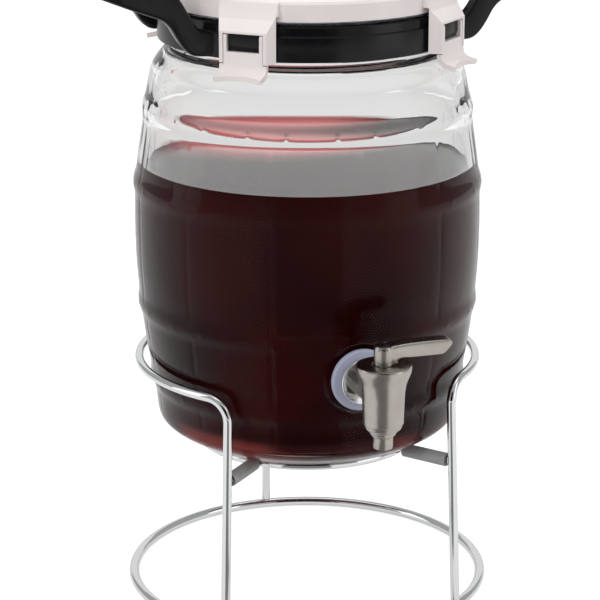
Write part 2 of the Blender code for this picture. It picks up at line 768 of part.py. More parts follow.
def make_tap_body(jar):
    """The vase-shaped body, bored for the plug from above, for the spout from below and for the shank."""
    outline = [(0, TAP_TOP_Z)]
    outline += [(TAP_R * r, TAP_TOP_Z - TAP_HEIGHT * drop) for drop, r in TAP_SHARES]
    outline.append((0, TAP_TOP_Z - TAP_HEIGHT))
    piece = add_piece(
        "tap_body", turned_mesh("tap_body", outline, TAP_STEPS), "brushed_steel", jar
    )
    piece.location = (0, -TAP_AXIS_R, 0)
    spout_end = TAP_TOP_Z - TAP_HEIGHT
    upright = {
        "valve_bore": (VALVE_BORE_R, VALVE_FLOOR_Z, TAP_TOP_Z + OVERRUN),
        "top_recess": (TOP_RECESS_R, TAP_TOP_Z - TOP_RECESS_DEPTH, TAP_TOP_Z + OVERRUN),
        "spout_bore": (SPOUT_BORE_R, spout_end - OVERRUN, VALVE_FLOOR_Z + OVERRUN),
    }
    boss = facing_front(
        cylinder_mesh("tap_boss", TAP_BOSS_R, TAP_BOSS_FACE, TAP_AXIS_R - VALVE_BORE_R)
    )
    socket = facing_front(
        cylinder_mesh(
            "shank_socket", SHANK_R, TAP_BOSS_FACE - OVERRUN, TAP_BOSS_FACE + SOCKET_DEPTH
        )
    )
    port = facing_front(cylinder_mesh("inlet_port", SHANK_BORE_R, TAP_BOSS_FACE, TAP_AXIS_R))
    for name, data, operation in (
        ("tap_boss", boss, "UNION"),
        ("shank_socket", socket, "DIFFERENCE"),
        ("inlet_port", port, "DIFFERENCE"),
    ):
        helper = add_helper(name, data, jar)
        helper.location = (0, 0, TAP_Z)
        boolean(piece, helper, operation)
    for name, (radius, low, high) in upright.items():
        helper = add_helper(name, cylinder_mesh(name, radius, low, high), jar)
        helper.location = (0, -TAP_AXIS_R, 0)
        boolean(piece, helper, "DIFFERENCE")


def make_tap_lever(jar):
    """The lever with its post, the plug that it turns, and the plug's seal, on the tap's upright axis."""
    axis = add_frame("tap_axis", jar, (0, -TAP_AXIS_R, 0))
    post_low = TAP_TOP_Z - TOP_RECESS_DEPTH + GAP
    stub_top = TAP_TOP_Z + STUB_RISE
    outline = [(LEVER_REACH * x, LEVER_UNDER_Z + LEVER_HEIGHT * z) for x, z in LEVER_SHARES]
    lever = add_piece(
        "tap_lever", slab_mesh("tap_lever", outline, LEVER_WIDTH), "brushed_steel", axis
    )
    rounding = lever.modifiers.new("rounding", "BEVEL")
    rounding.width = LEVER_ROUND
    rounding.segments = 2
    rounding.limit_method = "ANGLE"
    rounding.angle_limit = SHARP_ANGLE
    post_top = LEVER_UNDER_Z + LEVER_HEIGHT * POST_TOP_SHARE
    post_outline = [
        (0, post_top),
        (POST_R - LEVER_ROUND, post_top),
        (POST_R - LEVER_ROUND / 3, post_top - LEVER_ROUND / 3),
        (POST_R, post_top - LEVER_ROUND),
        (POST_R, post_low),
        (0, post_low),
    ]
    post = turned_mesh("lever_post", post_outline, TAP_STEPS)
    boolean(lever, add_helper("lever_post", post, axis), "UNION")
    bore = cylinder_mesh("lever_bore", STUB_R + GAP, post_low - OVERRUN, stub_top + GAP)
    boolean(lever, add_helper("lever_bore", bore, axis), "DIFFERENCE")

    plug_r = VALVE_BORE_R - GAP
    plug_low = VALVE_FLOOR_Z + GAP
    plug_top = post_low - GAP
    seal_r = plug_r - SEAL_WIRE_R
    groove_r = seal_r - SEAL_WIRE_R - GAP
    groove_half = SEAL_WIRE_R + GAP
    seal_z = plug_top - SEAL_DROP
    outline = [
        (0, stub_top),
        (STUB_R, stub_top),
        (STUB_R, plug_top),
        (plug_r, plug_top),
        (plug_r, seal_z + groove_half),
        (groove_r, seal_z + groove_half),
        (groove_r, seal_z - groove_half),
        (plug_r, seal_z - groove_half),
        (plug_r, plug_low),
        (0, plug_low),
    ]
    plug = add_piece(
        "valve_spindle", turned_mesh("valve_spindle", outline, SMALL_STEPS), "brushed_steel", axis
    )
    down = cylinder_mesh("plug_outlet", PORT_R, plug_low - OVERRUN, TAP_Z)
    boolean(plug, add_helper("plug_outlet", down, axis), "DIFFERENCE")
    across = cylinder_mesh("plug_inlet", PORT_R, 0, plug_r + OVERRUN)
    across.transform(Matrix.Rotation(-math.pi / 2, 4, "Y"))
    inlet = add_helper("plug_inlet", across, axis)
    inlet.location = (0, 0, TAP_Z)
    boolean(plug, inlet, "DIFFERENCE")
    seal = torus_mesh("spindle_seal", seal_r, SEAL_WIRE_R, seal_z, SEAL_STEPS, 6)
    add_piece("spindle_seal", seal, "clear_silicone", axis)


def ear_path():
    """Out along one arm, round the grip and back, rising as the ear leaves the collar."""
    root_z = COLLAR_Z + EAR_ROOT_RISE

    def lift(x):
        return root_z + EAR_RISE * smooth_through(EAR_SHARES, (x - EAR_ROOT) / EAR_LENGTH)

    corner_x = EAR_REACH - EAR_CORNER_R
    corner_y = EAR_HALF_WIDTH - EAR_CORNER_R
    stations = [EAR_ROOT + EAR_LENGTH * share for share, _ in EAR_SHARES]
    half = [(x, -EAR_HALF_WIDTH) for x in stations if x < corner_x - EAR_WIDE / 2]
    half += arc(corner_x, -corner_y, EAR_CORNER_R, -math.pi / 2, 0, 6)
    half.append((EAR_REACH, 0))
    plan = half + [(x, -y) for x, y in reversed(half[:-1])]
    return [(x, y, lift(x)) for x, y in plan]


def ear_section():
    """The ear's section, a rectangle with its corners cut."""
    across, up, edge = EAR_WIDE / 2, EAR_THICK / 2, EAR_EDGE
    corners = [(across, up - edge), (across - edge, up)]
    corners += [(-x, y) for x, y in reversed(corners)]
    corners += [(-x, -y) for x, y in corners]
    curve = bpy.data.curves.new("ear_section", "CURVE")
    curve.dimensions = "2D"
    spline = curve.splines.new("POLY")
    spline.points.add(len(corners) - 1)
    for point, (x, y) in zip(spline.points, corners):
        point.co = (x, y, 0, 1)
    spline.use_cyclic_u = True
    return add_helper("ear_section", curve, None)


def make_collar(collar):
    """The black moulding round the neck: a stepped ring with four lugs and two ears."""
    inner = NECK_R + GAP
    bead_inner = BEAD_R + GAP
    step_z = COLLAR_Z + COLLAR_LOWER
    outline = [
        (bead_inner, COLLAR_TOP_Z),
        (COLLAR_STEP_R - COLLAR_ROUND, COLLAR_TOP_Z),
        (COLLAR_STEP_R, COLLAR_TOP_Z - COLLAR_ROUND),
        (COLLAR_STEP_R, step_z),
        (COLLAR_R - COLLAR_ROUND, step_z),
        (COLLAR_R, step_z - COLLAR_ROUND),
        (COLLAR_R, COLLAR_Z + COLLAR_ROUND),
        (COLLAR_R - COLLAR_ROUND, COLLAR_Z),
        (inner, COLLAR_Z),
        (inner, BEAD_Z - GAP),
        (bead_inner, BEAD_Z + BEAD_RISE - GAP),
    ]
    ring = turned_mesh("handle_collar", outline, ROUND_STEPS, ring=True)
    piece = add_piece("handle_collar", ring, "black_plastic", collar)
    lug_root = (inner + COLLAR_STEP_R) / 2
    lug_outline = [
        (lug_root, LUG_BOTTOM_Z),
        (LUG_R - LUG_BEVEL_DEEP, LUG_BOTTOM_Z),
        (LUG_R, LUG_BOTTOM_Z + LUG_BEVEL_TALL),
        (LUG_R, LUG_TOP_Z),
        (lug_root, LUG_TOP_Z),
    ]
    for place, angle in CLIPS.items():
        lug = add_helper("lug_" + place, slab_mesh("lug", lug_outline, LUG_WIDTH), collar)
        lug.rotation_euler = (0, 0, angle - math.pi / 2)
        boolean(piece, lug, "UNION")
    section = ear_section()
    curve = wire_curve("ear", ear_path(), EAR_THICK, section)
    sweep = add_helper("ear_sweep", curve, None)
    mesh = baked(sweep)
    discard(sweep)
    discard(section)
    trim = cylinder_mesh(
        "neck_clearance", bead_inner, COLLAR_Z - OVERRUN, COLLAR_TOP_Z + OVERRUN, ROUND_STEPS
    )
    for side, turn in (("right", 0.0), ("left", math.pi)):
        ear = add_helper("ear_" + side, mesh, collar)
        ear.rotation_euler = (0, 0, turn)
        boolean(piece, ear, "UNION")
    boolean(piece, add_helper("neck_clearance", trim, collar), "DIFFERENCE")


def lid_outline():
    """Over the raised middle panel, down the rim, in along the gasket's seat and round the inner skirt."""
    skirt_r = MOUTH_R - SKIRT_CLEAR
    skirt_low = MOUTH_Z - SKIRT_DEPTH
    skirt_inner = skirt_r - SKIRT_WALL
    panel_z = LID_TOP_Z + LID_PANEL_RISE
    lip_r = GASKET_R + GAP
    under_z = LID_TOP_Z - LID_WALL
    return [
        (0, panel_z + LID_CROWN),
        (LID_PANEL_R / 2, panel_z + LID_CROWN * 3 / 4),
        (LID_PANEL_R, panel_z),
        (LID_SHOULDER_R, LID_TOP_Z),
        (LID_R - LID_EDGE, LID_TOP_Z),
        (LID_R - LID_EDGE / 3, LID_TOP_Z - LID_EDGE / 3),
        (LID_R, LID_TOP_Z - LID_EDGE),
        (LID_R, LID_RIM_Z),
        (lip_r, LID_RIM_Z),
        (lip_r, LID_SEAT_Z),
        (skirt_r, LID_SEAT_Z),
        (skirt_r, skirt_low),
        (skirt_inner, skirt_low),
        (skirt_inner, under_z - LID_WALL),
        (LID_PANEL_R, under_z),
        (0, panel_z + LID_CROWN - LID_WALL),
    ]


def housing_outline():
    """The housing's side: it flows out from the lid's edge over the hinge and ends in a flat face."""
    rise = LID_TOP_Z - HOUSING_FLOOR_Z - LID_EDGE / 3
    reach = HOUSING_FACE - LID_R
    start_x = LID_R - LID_EDGE
    root_z = LID_SEAT_Z + LID_EDGE / 2
    outline = [(HOUSING_ROOT_R, HOUSING_FLOOR_Z + rise)]
    outline += [
        (start_x + (LID_EDGE + reach) * x, HOUSING_FLOOR_Z + rise * z) for x, z in HOUSING_SHARES
    ]
    inner = COLLAR_R + GAP
    cheek_low = HOUSING_FLOOR_Z - CHEEK_LENGTH
    outline += [(HOUSING_FACE, cheek_low), (inner, cheek_low), (inner, root_z)]
    outline.append((HOUSING_ROOT_R, root_z))
    return outline


def housing_mesh(outer_half):
    """The housing's side shape, cut to a plan that widens from its face towards the lid."""
    base_half = outer_half + HOUSING_DRAFT
    side = add_helper("housing", slab_mesh("housing", housing_outline(), 2 * base_half), None)
    plan = [
        (HOUSING_ROOT_R - OVERRUN, -base_half - OVERRUN),
        (COLLAR_R, -base_half),
        (HOUSING_FACE, -outer_half),
        (HOUSING_FACE, outer_half),
        (COLLAR_R, base_half),
        (HOUSING_ROOT_R - OVERRUN, base_half + OVERRUN),
    ]
    low = HOUSING_FLOOR_Z - CHEEK_LENGTH - OVERRUN
    high = LID_TOP_Z + OVERRUN
    stencil = slab_mesh("housing_plan", plan, high - low)
    stencil.transform(Matrix.Rotation(-math.pi / 2, 4, "X"))
    stencil.transform(Matrix.Translation((0, 0, (low + high) / 2)))
    boolean(side, add_helper("housing_plan", stencil, None), "INTERSECT")
    mesh = baked(side)
    discard(side)
    return mesh


def make_lid(lid):
    """The lid with four housings; each has two cheeks, in which a latch's trunnions turn."""
    piece = add_piece(
        "lid_cover", turned_mesh("lid_cover", lid_outline(), ROUND_STEPS), "lid_plastic", lid
    )
    inner_half = LATCH_WIDTH / 2 + GAP
    housing = housing_mesh(inner_half + CHEEK)
    cheek_low = HOUSING_FLOOR_Z - CHEEK_LENGTH
    opening = box_mesh(
        "latch_opening",
        (COLLAR_R - OVERRUN, -inner_half, cheek_low - OVERRUN),
        (HOUSING_FACE + OVERRUN, inner_half, HOUSING_FLOOR_Z),
    )
    socket_half = inner_half + TRUNNION_LENGTH + GAP
    socket = cylinder_mesh("trunnion_sockets", TRUNNION_R + GAP, -socket_half, socket_half, 12)
    socket.transform(Matrix.Rotation(math.pi / 2, 4, "X"))
    socket.transform(Matrix.Translation((HINGE_R, 0, HINGE_Z)))
    for place, angle in CLIPS.items():
        for name, data, operation in (
            ("housing_", housing, "UNION"),
            ("latch_opening_", opening, "DIFFERENCE"),
            ("trunnion_sockets_", socket, "DIFFERENCE"),
        ):
            helper = add_helper(name + place, data, lid)
            helper.rotation_euler = (0, 0, angle - math.pi / 2)
            boolean(piece, helper, operation)
    gasket = turned_mesh(
        "lid_gasket",
        tube_outline(GASKET_INNER_R, GASKET_R, GASKET_Z, GASKET_Z + GASKET_THICK),
        RING_STEPS,
        ring=True,
    )
    add_piece("lid_gasket", gasket, "clear_silicone", lid)


def latch_outline():
    """The latch's side about its hinge: an eye, a straight plate and a lip that flares outwards."""
    half = LATCH_THICK / 2
    centre_x = half + FLARE_R
    start = -(FLARE_START_DROP)
    end_angle = math.pi + FLARE_SWEEP
    along = Vector((-math.sin(end_angle), math.cos(end_angle))) * TAB_LENGTH
    upper = arc(centre_x, start, FLARE_R, math.pi, end_angle, 5)
    lower = arc(centre_x, start, FLARE_R + LATCH_THICK, end_angle, math.pi, 5)
    tip_upper = (upper[-1][0] + along.x, upper[-1][1] + along.y)
    tip_lower = (lower[0][0] + along.x, lower[0][1] + along.y)
    outline = arc(0, 0, HINGE_EYE_R, math.pi, 0, 5)
    return outline + upper + [tip_upper, tip_lower] + lower


def latch_mesh():
    """One latch with its window, its trunnions and the finger hollow in its lip."""
    outline = latch_outline()
    lip_half = LATCH_WIDTH / 2 + GAP + CHEEK
    plate = add_helper("latch_plate", slab_mesh("latch_plate", outline, 2 * lip_half), None)
    lip_top = HOUSING_FLOOR_Z - CHEEK_LENGTH - HINGE_Z - LIP_CLEAR
    for side in (-1, 1):
        near, far = sorted((side * LATCH_WIDTH / 2, side * (lip_half + OVERRUN)))
        notch = box_mesh(
            "cheek_notch",
            (-LATCH_THICK, near, lip_top),
            (LATCH_THICK, far, HINGE_EYE_R + OVERRUN),
        )
        boolean(plate, add_helper("cheek_notch", notch, None), "DIFFERENCE")
    window_half = LUG_WIDTH / 2 + WINDOW_CLEAR
    window = box_mesh(
        "latch_window",
        (-LATCH_THICK, -window_half, PLATE_TOP_Z - HINGE_Z),
        (LATCH_THICK, window_half, HINGE_EYE_R + OVERRUN),
    )
    boolean(plate, add_helper("latch_window", window, None), "DIFFERENCE")
    half = LATCH_WIDTH / 2
    root = half - CHEEK / 2
    end = half + TRUNNION_LENGTH
    for side, low, high in (("left", -end, -root), ("right", root, end)):
        pin = cylinder_mesh("trunnion_" + side, TRUNNION_R, low, high, 12)
        pin.transform(Matrix.Rotation(math.pi / 2, 4, "X"))
        boolean(plate, add_helper("trunnion_" + side, pin, None), "UNION")
    hollow = cylinder_mesh("finger_hollow", SCALLOP_R, -2 * FLARE_START_DROP, 0, RING_STEPS)
    tip_x = max(x for x, z in outline)
    hollow_x = tip_x - SCALLOP_DEPTH + SCALLOP_R
    hollow.transform(Matrix.Translation((hollow_x, 0, -FLARE_START_DROP / 2)))
    boolean(plate, add_helper("finger_hollow", hollow, None), "DIFFERENCE")
    mesh = baked(plate)
    discard(plate)
    return shade(mesh)


def make_latches(lid):
    shared = latch_mesh()
    for place, angle in CLIPS.items():
        spot = around(HINGE_R, angle, HINGE_Z)
        hinge = add_frame("latch_hinge_" + place, lid, spot, angle - math.pi / 2)
        obj = bpy.data.objects.new("latch_" + place, shared)
        PARTS.objects.link(obj)
        obj.parent = hinge
    shared.materials.append(finish_material("lid_plastic"))


def main():
    whole = add_frame("dispenser", location=(0, (FRONT_REACH - BACK_REACH) / 2, 0))
    make_stand(add_frame("stand_frame", whole, turn=STAND_TURN))
    jar = add_frame("jar_frame", whole)
    make_jar(jar)
    make_tap_fixings(jar)
    make_tap_body(jar)
    make_tap_lever(jar)
    collar = add_frame("collar_frame", jar, turn=COLLAR_TURN)
    make_collar(collar)
    lid = add_frame("lid_frame", collar)
    make_lid(lid)
    make_latches(lid)


clear_scene()
PARTS = new_collection("barrel_dispenser")
CUTTERS = new_collection("cutters")
CUTTERS.hide_render = True
main()
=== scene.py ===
"""Looks of a barrel drinks dispenser: glass jar, drink, wire stand, lever tap, collar, lid and latches."""

import math

import bmesh
import bpy
import numpy as np
from bpy.props import FloatProperty, FloatVectorProperty, PointerProperty
from mathutils import Matrix, Vector


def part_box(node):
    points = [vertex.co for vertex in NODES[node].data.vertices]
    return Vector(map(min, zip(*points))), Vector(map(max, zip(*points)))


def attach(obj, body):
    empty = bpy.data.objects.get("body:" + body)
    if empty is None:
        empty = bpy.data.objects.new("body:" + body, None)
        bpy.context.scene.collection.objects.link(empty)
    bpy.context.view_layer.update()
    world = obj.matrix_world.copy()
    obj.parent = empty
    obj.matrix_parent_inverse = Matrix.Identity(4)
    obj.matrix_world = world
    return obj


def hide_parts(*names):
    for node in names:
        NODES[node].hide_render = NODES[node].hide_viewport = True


bl_info = {
    "name": "Barrel drinks dispenser",
    "version": (1, 0, 0),
    "blender": (4, 5, 0),
    "location": "View3D > Sidebar > Dispenser",
    "description": "Builds the finished surfaces of a glass drinks dispenser over its fixed frame",
    "category": "Object",
}

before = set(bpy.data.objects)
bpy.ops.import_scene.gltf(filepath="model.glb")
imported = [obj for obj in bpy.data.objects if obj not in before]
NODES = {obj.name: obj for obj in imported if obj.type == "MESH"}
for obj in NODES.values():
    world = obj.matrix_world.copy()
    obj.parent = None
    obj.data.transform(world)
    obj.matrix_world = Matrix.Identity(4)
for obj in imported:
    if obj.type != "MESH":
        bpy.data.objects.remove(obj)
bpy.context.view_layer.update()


def node_middle(name):
    """The middle of a node's box."""
    low, high = (np.array(corner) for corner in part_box(name))
    return (low + high) / 2


GAP = 0.0003
NECK_HEIGHT = 0.0226
STAND_Y = float(node_middle("base_ring")[1])
JAR_FOOT = float(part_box("glass_jar")[0][2])
JAR_TOP = float(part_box("glass_jar")[1][2])
SHOULDER = JAR_TOP - NECK_HEIGHT
TAP_Z = float(node_middle("outer_washer")[2])
TAP_AXIS = float(node_middle("valve_spindle")[1])
TAP_TOP = float(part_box("tap_body")[1][2])
PAD_FACE = STAND_Y - float(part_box("outer_washer")[1][1]) - GAP
BOSS_FACE = STAND_Y - float(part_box("tap_body")[1][1])


def metres(name, description, default):
    """A setting in metres."""
    return FloatProperty(name=name, description=description, default=default, unit="LENGTH")


def degrees(name, description, value):
    """A setting in radians, whose default is given in degrees."""
    return FloatProperty(name=name, description=description, default=math.radians(value), subtype="ANGLE")


def number(name, description, default):
    """A setting without a unit of its own."""
    return FloatProperty(name=name, description=description, default=default)


class StageSettings(bpy.types.PropertyGroup):
    """Camera and light of the picture."""

    camera_reach: metres("Camera distance", "Level distance from the jar's axis", 1.29)
    camera_height: metres("Camera height", "Height of the camera over the floor", 0.556)
    camera_side: degrees("Camera side", "Angle from the tap's side of the jar, towards the left", 18.1)
    camera_tilt: degrees("Camera tilt", "How far the camera looks down", 16.9)
    camera_pan: degrees("Camera pan", "How far the camera looks past the jar's axis", 0.18)
    focal_length: number("Focal length", "Focal length in millimetres on a 36 mm sensor", 143.4)
    key_power: number("Key lamp", "Power of the large left lamp in watts", 12.0)
    fill_power: number("Fill lamp", "Power of the right lamp in watts", 7.0)
    top_power: number("Top lamp", "Power of the lamp overhead in watts", 7.0)
    room_level: number("Room light", "Strength of the even room light", 0.66)
    mirror_level: number("Mirror light", "Strength of the room in reflections", 0.36)
    card_level: number("Card light", "Strength of the bright cards in reflections", 1.2)
    through_level: number("Floor through glass", "Added floor light in glass", 0.98)


class JarSettings(bpy.types.PropertyGroup):
    """Glass jar and its drink."""

    belly: metres("Belly radius", "Outer radius without hoops", 0.096)
    barrel: metres("Barrel height", "From the foot to the shoulder", 0.2205)
    wall: metres("Glass wall", "Thickness of the glass", 0.005)
    hoop_rise: metres("Hoop rise", "How far a hoop stands out", 0.0012)
    hoop_band: metres("Hoop band", "Height of a hoop", 0.0088)
    seam_depth: metres("Seam depth", "Depth of a stave seam", 0.0002)
    seam_width: metres("Seam width", "Width of a stave seam", 0.0016)
    nail_rise: metres("Nail rise", "Height of a nail head", 0.0002)
    nail_radius: metres("Nail radius", "Radius of a nail head", 0.0013)
    drink_level: metres("Drink level", "Height of the drink over the floor", 0.247)
    drink_colour: FloatVectorProperty(
        name="Drink colour", description="Colour of the drink's level top, away from the glow",
        default=(0.042, 0.0055, 0.006), subtype="COLOR", size=3,
    )


class StandSettings(bpy.types.PropertyGroup):
    """Wire stand."""

    wire: metres("Wire", "Diameter of the legs and the hoop", 0.005)
    base_wire: metres("Base wire", "Diameter of the base ring's wire", 0.0055)
    base_radius: metres("Base ring", "Radius of the base ring", 0.1005)
    hoop_radius: metres("Hoop radius", "Radius of the hoop", 0.095)
    hoop_height: metres("Hoop height", "Height of the hoop", 0.1334)
    bend: metres("Leg bend", "Radius of the bend into the hoop", 0.0125)
    leg_angle: degrees("Leg angle", "Angle of a front leg from the front", 41)
    turn: degrees("Stand turn", "Turn of the stand under the jar", -3.4)


def closed_grid(points, wrap_rows=False, wrap_columns=True):
    """A mesh from a (rows, columns, 3) array: neighbours in the array are neighbours on the surface."""
    rows, columns = points.shape[:2]
    index = np.arange(rows * columns).reshape(rows, columns)
    if wrap_rows:
        index = np.vstack([index, index[:1]])
    if wrap_columns:
        index = np.hstack([index, index[:, :1]])
    quads = np.stack([index[:-1, :-1], index[1:, :-1], index[1:, 1:], index[:-1, 1:]], axis=-1)
    quads = quads.reshape(-1, 4)
    mesh = bpy.data.meshes.new("surface")
    mesh.vertices.add(rows * columns)
    mesh.vertices.foreach_set("co", points.reshape(-1).astype(np.float32))
    mesh.loops.add(quads.size)
    mesh.loops.foreach_set("vertex_index", quads.reshape(-1).astype(np.int32))
    mesh.polygons.add(len(quads))
    mesh.polygons.foreach_set("loop_start", np.arange(0, quads.size, 4, dtype=np.int32))
    mesh.update(calc_edges=True)
    mesh.validate()
    return mesh


def weld(mesh, distance=1e-6, recalculate=False):
    """Merges the points of a pole or seam, and drops faces without area."""
    grid = bmesh.new()
    grid.from_mesh(mesh)
    bmesh.ops.remove_doubles(grid, verts=grid.verts, dist=distance)
    bmesh.ops.dissolve_degenerate(grid, edges=grid.edges, dist=distance)
    if recalculate:
        bmesh.ops.recalc_face_normals(grid, faces=grid.faces)
    grid.to_mesh(mesh)
    grid.free()
    return mesh


def cap_ends(mesh):
    """Closes the open rims of a tube or a sweep with one face each."""
    grid = bmesh.new()
    grid.from_mesh(mesh)
    rims = [edge for edge in grid.edges if edge.is_boundary]
    bmesh.ops.contextual_create(grid, geom=rims)
    bmesh.ops.recalc_face_normals(grid, faces=grid.faces)
    grid.to_mesh(mesh)
    grid.free()
    return mesh


def smooth(mesh, angle=math.radians(32)):
    """Shades a mesh smooth, with a sharp edge wherever two faces meet at more than the angle."""
    mesh.shade_smooth()
    mesh.set_sharp_from_angle(angle=angle)
    return mesh


def new_object(name, data):
    """A new object in the scene."""
    obj = bpy.data.objects.new(name, data)
    bpy.context.scene.collection.objects.link(obj)
    return obj


def piece(name, mesh, material, body, stands_for=()):
    """Puts a finished mesh into the scene, on its body, in place of its CAD nodes."""
    mesh.name = name
    mesh.materials.clear()
    mesh.materials.append(material)
    obj = new_object(name, mesh)
    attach(obj, body)
    if stands_for:
        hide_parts(*stands_for)
    return obj


def curve_through(stations, places):
    """The smooth curve through (place, value) stations, read at an array of places.

    Each span is a cubic whose slope at a station is that of the chord between its two neighbours.
    """
    table = np.array(stations, float)
    x, y = table[:, 0], table[:, 1]
    last = len(x) - 1
    span = np.clip(np.searchsorted(x, places, side="right") - 1, 0, last - 1)
    before, after = np.maximum(span - 1, 0), np.minimum(span + 2, last)
    width = x[span + 1] - x[span]
    t = np.clip((places - x[span]) / width, 0, 1)
    rate_in = (y[span + 1] - y[before]) / (x[span + 1] - x[before])
    rate_out = (y[after] - y[span]) / (x[after] - x[span])
    return (
        (2 * t**3 - 3 * t**2 + 1) * y[span]
        + (t**3 - 2 * t**2 + t) * width * rate_in
        + (3 * t**2 - 2 * t**3) * y[span + 1]
        + (t**3 - t**2) * width * rate_out
    )


def smooth_step(values, low, high):
    """0 below low, 1 above high, and the cubic 3t^2 - 2t^3 between them."""
    t = np.clip((values - low) / (high - low), 0, 1)
    return t * t * (3 - 2 * t)


def unit(vectors):
    """Vectors of length 1 in the same directions."""
    return vectors / np.linalg.norm(vectors, axis=-1, keepdims=True)


def fine_path(points, spacing):
    """A polyline resampled at an even spacing on the smooth cubic through its points."""
    points = np.array(points, float)
    steps = np.linalg.norm(np.diff(points, axis=0), axis=1)
    along = np.concatenate([[0], np.cumsum(steps)])
    count = max(int(along[-1] / spacing), 2)
    places = np.linspace(0, along[-1], count + 1)
    axes = [curve_through(np.column_stack([along, points[:, i]]), places) for i in range(points.shape[1])]
    return np.column_stack(axes)


def spin(profile, columns=160, centre=(0.0, 0.0, 0.0), ring=False, forward=False):
    """A profile of (radius, height) rows turned about an axis: x = r cos a, y = r sin a, z = height.

    The axis is upright, or points to the front when forward is set, and passes through centre.
    """
    profile = np.asarray(profile, float)
    angles = np.arange(columns) * math.tau / columns
    r, z = profile[:, :1], profile[:, 1:]
    points = np.stack([r * np.cos(angles), r * np.sin(angles), z + 0 * angles], axis=-1)
    if forward:
        points = np.stack([points[..., 0], -points[..., 2], points[..., 1]], axis=-1)
    mesh = closed_grid(points + np.array(centre), wrap_rows=ring)
    return smooth(weld(mesh))


def rounded(corners, radii, steps=5):
    """A closed outline with each corner replaced by an arc of its own radius."""
    corners = np.array(corners, float)
    outline = []
    for i, (corner, radius) in enumerate(zip(corners, radii)):
        back = corners[i - 1] - corner
        ahead = corners[(i + 1) % len(corners)] - corner
        back_len, ahead_len = np.linalg.norm(back), np.linalg.norm(ahead)
        if radius <= 0:
            outline.append(corner[None])
            continue
        back, ahead = back / back_len, ahead / ahead_len
        half = math.acos(np.clip(back @ ahead, -1, 1)) / 2
        cut = min(radius / math.tan(half), back_len * 0.49, ahead_len * 0.49)
        radius = cut * math.tan(half)
        middle = back + ahead
        centre = corner + unit(middle) * math.hypot(cut, radius)
        start, end = corner + back * cut - centre, corner + ahead * cut - centre
        first = math.atan2(start[1], start[0])
        sweep = (math.atan2(end[1], end[0]) - first + math.pi) % math.tau - math.pi
        angles = first + sweep * np.linspace(0, 1, steps + 1)
        outline.append(centre + radius * np.column_stack([np.cos(angles), np.sin(angles)]))
    return np.concatenate(outline)


def frames_along(path, closed):
    """Two unit normals at each point of a path, turned no more than the path turns."""
    ahead = np.roll(path, -1, axis=0) - np.roll(path, 1, axis=0)
    if not closed:
        ahead[0] = path[1] - path[0]
        ahead[-1] = path[-1] - path[-2]
    tangents = unit(ahead)
    up = np.array([0.0, 0.0, 1.0])
    if closed:
        side = unit(np.cross(tangents, up))
        return side, np.cross(side, tangents)
    side = np.cross(tangents[0], up)
    if np.linalg.norm(side) < 0.1:
        side = np.cross(tangents[0], np.array([1.0, 0.0, 0.0]))
    sides = [unit(side)]
    for tangent in tangents[1:]:
        sides.append(unit(sides[-1] - tangent * (sides[-1] @ tangent)))
    sides = np.array(sides)
    return sides, np.cross(sides, tangents)


def end_rounding(path, radius, edge):
    """Adds stations that round a tube's two ends: at depth e(1 - cos t) the radius is r - e(1 - sin t)."""
    turn = np.linspace(0, math.pi / 2, 6)[:, None]
    depth, reach = edge * (1 - np.cos(turn)), radius - edge * (1 - np.sin(turn))
    start, end = unit(path[1] - path[0]), unit(path[-1] - path[-2])
    stations = np.vstack([path[0] + start * depth, path[1:-1], path[-1] - end * depth[::-1]])
    plain = np.full((len(path) - 2, 1), radius)
    return stations, np.vstack([reach, plain, reach[::-1]])


def tube(path, radius, sides=28, closed=False, edge=0.0006):
    """A round section carried along a path: point = centre + r (cos a * side + sin a * up)."""
    path = np.array(path, float)
    reach = np.full((len(path), 1), radius)
    if not closed:
        path, reach = end_rounding(path, radius, edge)
    side, up = frames_along(path, closed)
    angles = np.arange(sides) * math.tau / sides
    around = np.cos(angles)[None, :, None] * side[:, None] + np.sin(angles)[None, :, None] * up[:, None]
    mesh = closed_grid(path[:, None] + reach[:, :, None] * around, wrap_rows=closed)
    return smooth(weld(mesh, recalculate=True) if closed else cap_ends(mesh))


def turned(points, angle):
    """Points turned about the jar's axis."""
    x, y = points[..., 0], points[..., 1] - STAND_Y
    result = np.array(points, float)
    result[..., 0] = math.cos(angle) * x - math.sin(angle) * y
    result[..., 1] = STAND_Y + math.sin(angle) * x + math.cos(angle) * y
    return result


def around_jar(radius, angle, height):
    """Points at a radius, angle from the front towards +X, and height, round the jar's axis."""
    radius, angle, height = np.broadcast_arrays(radius, angle, height)
    return np.stack([radius * np.sin(angle), STAND_Y - radius * np.cos(angle), height], axis=-1)


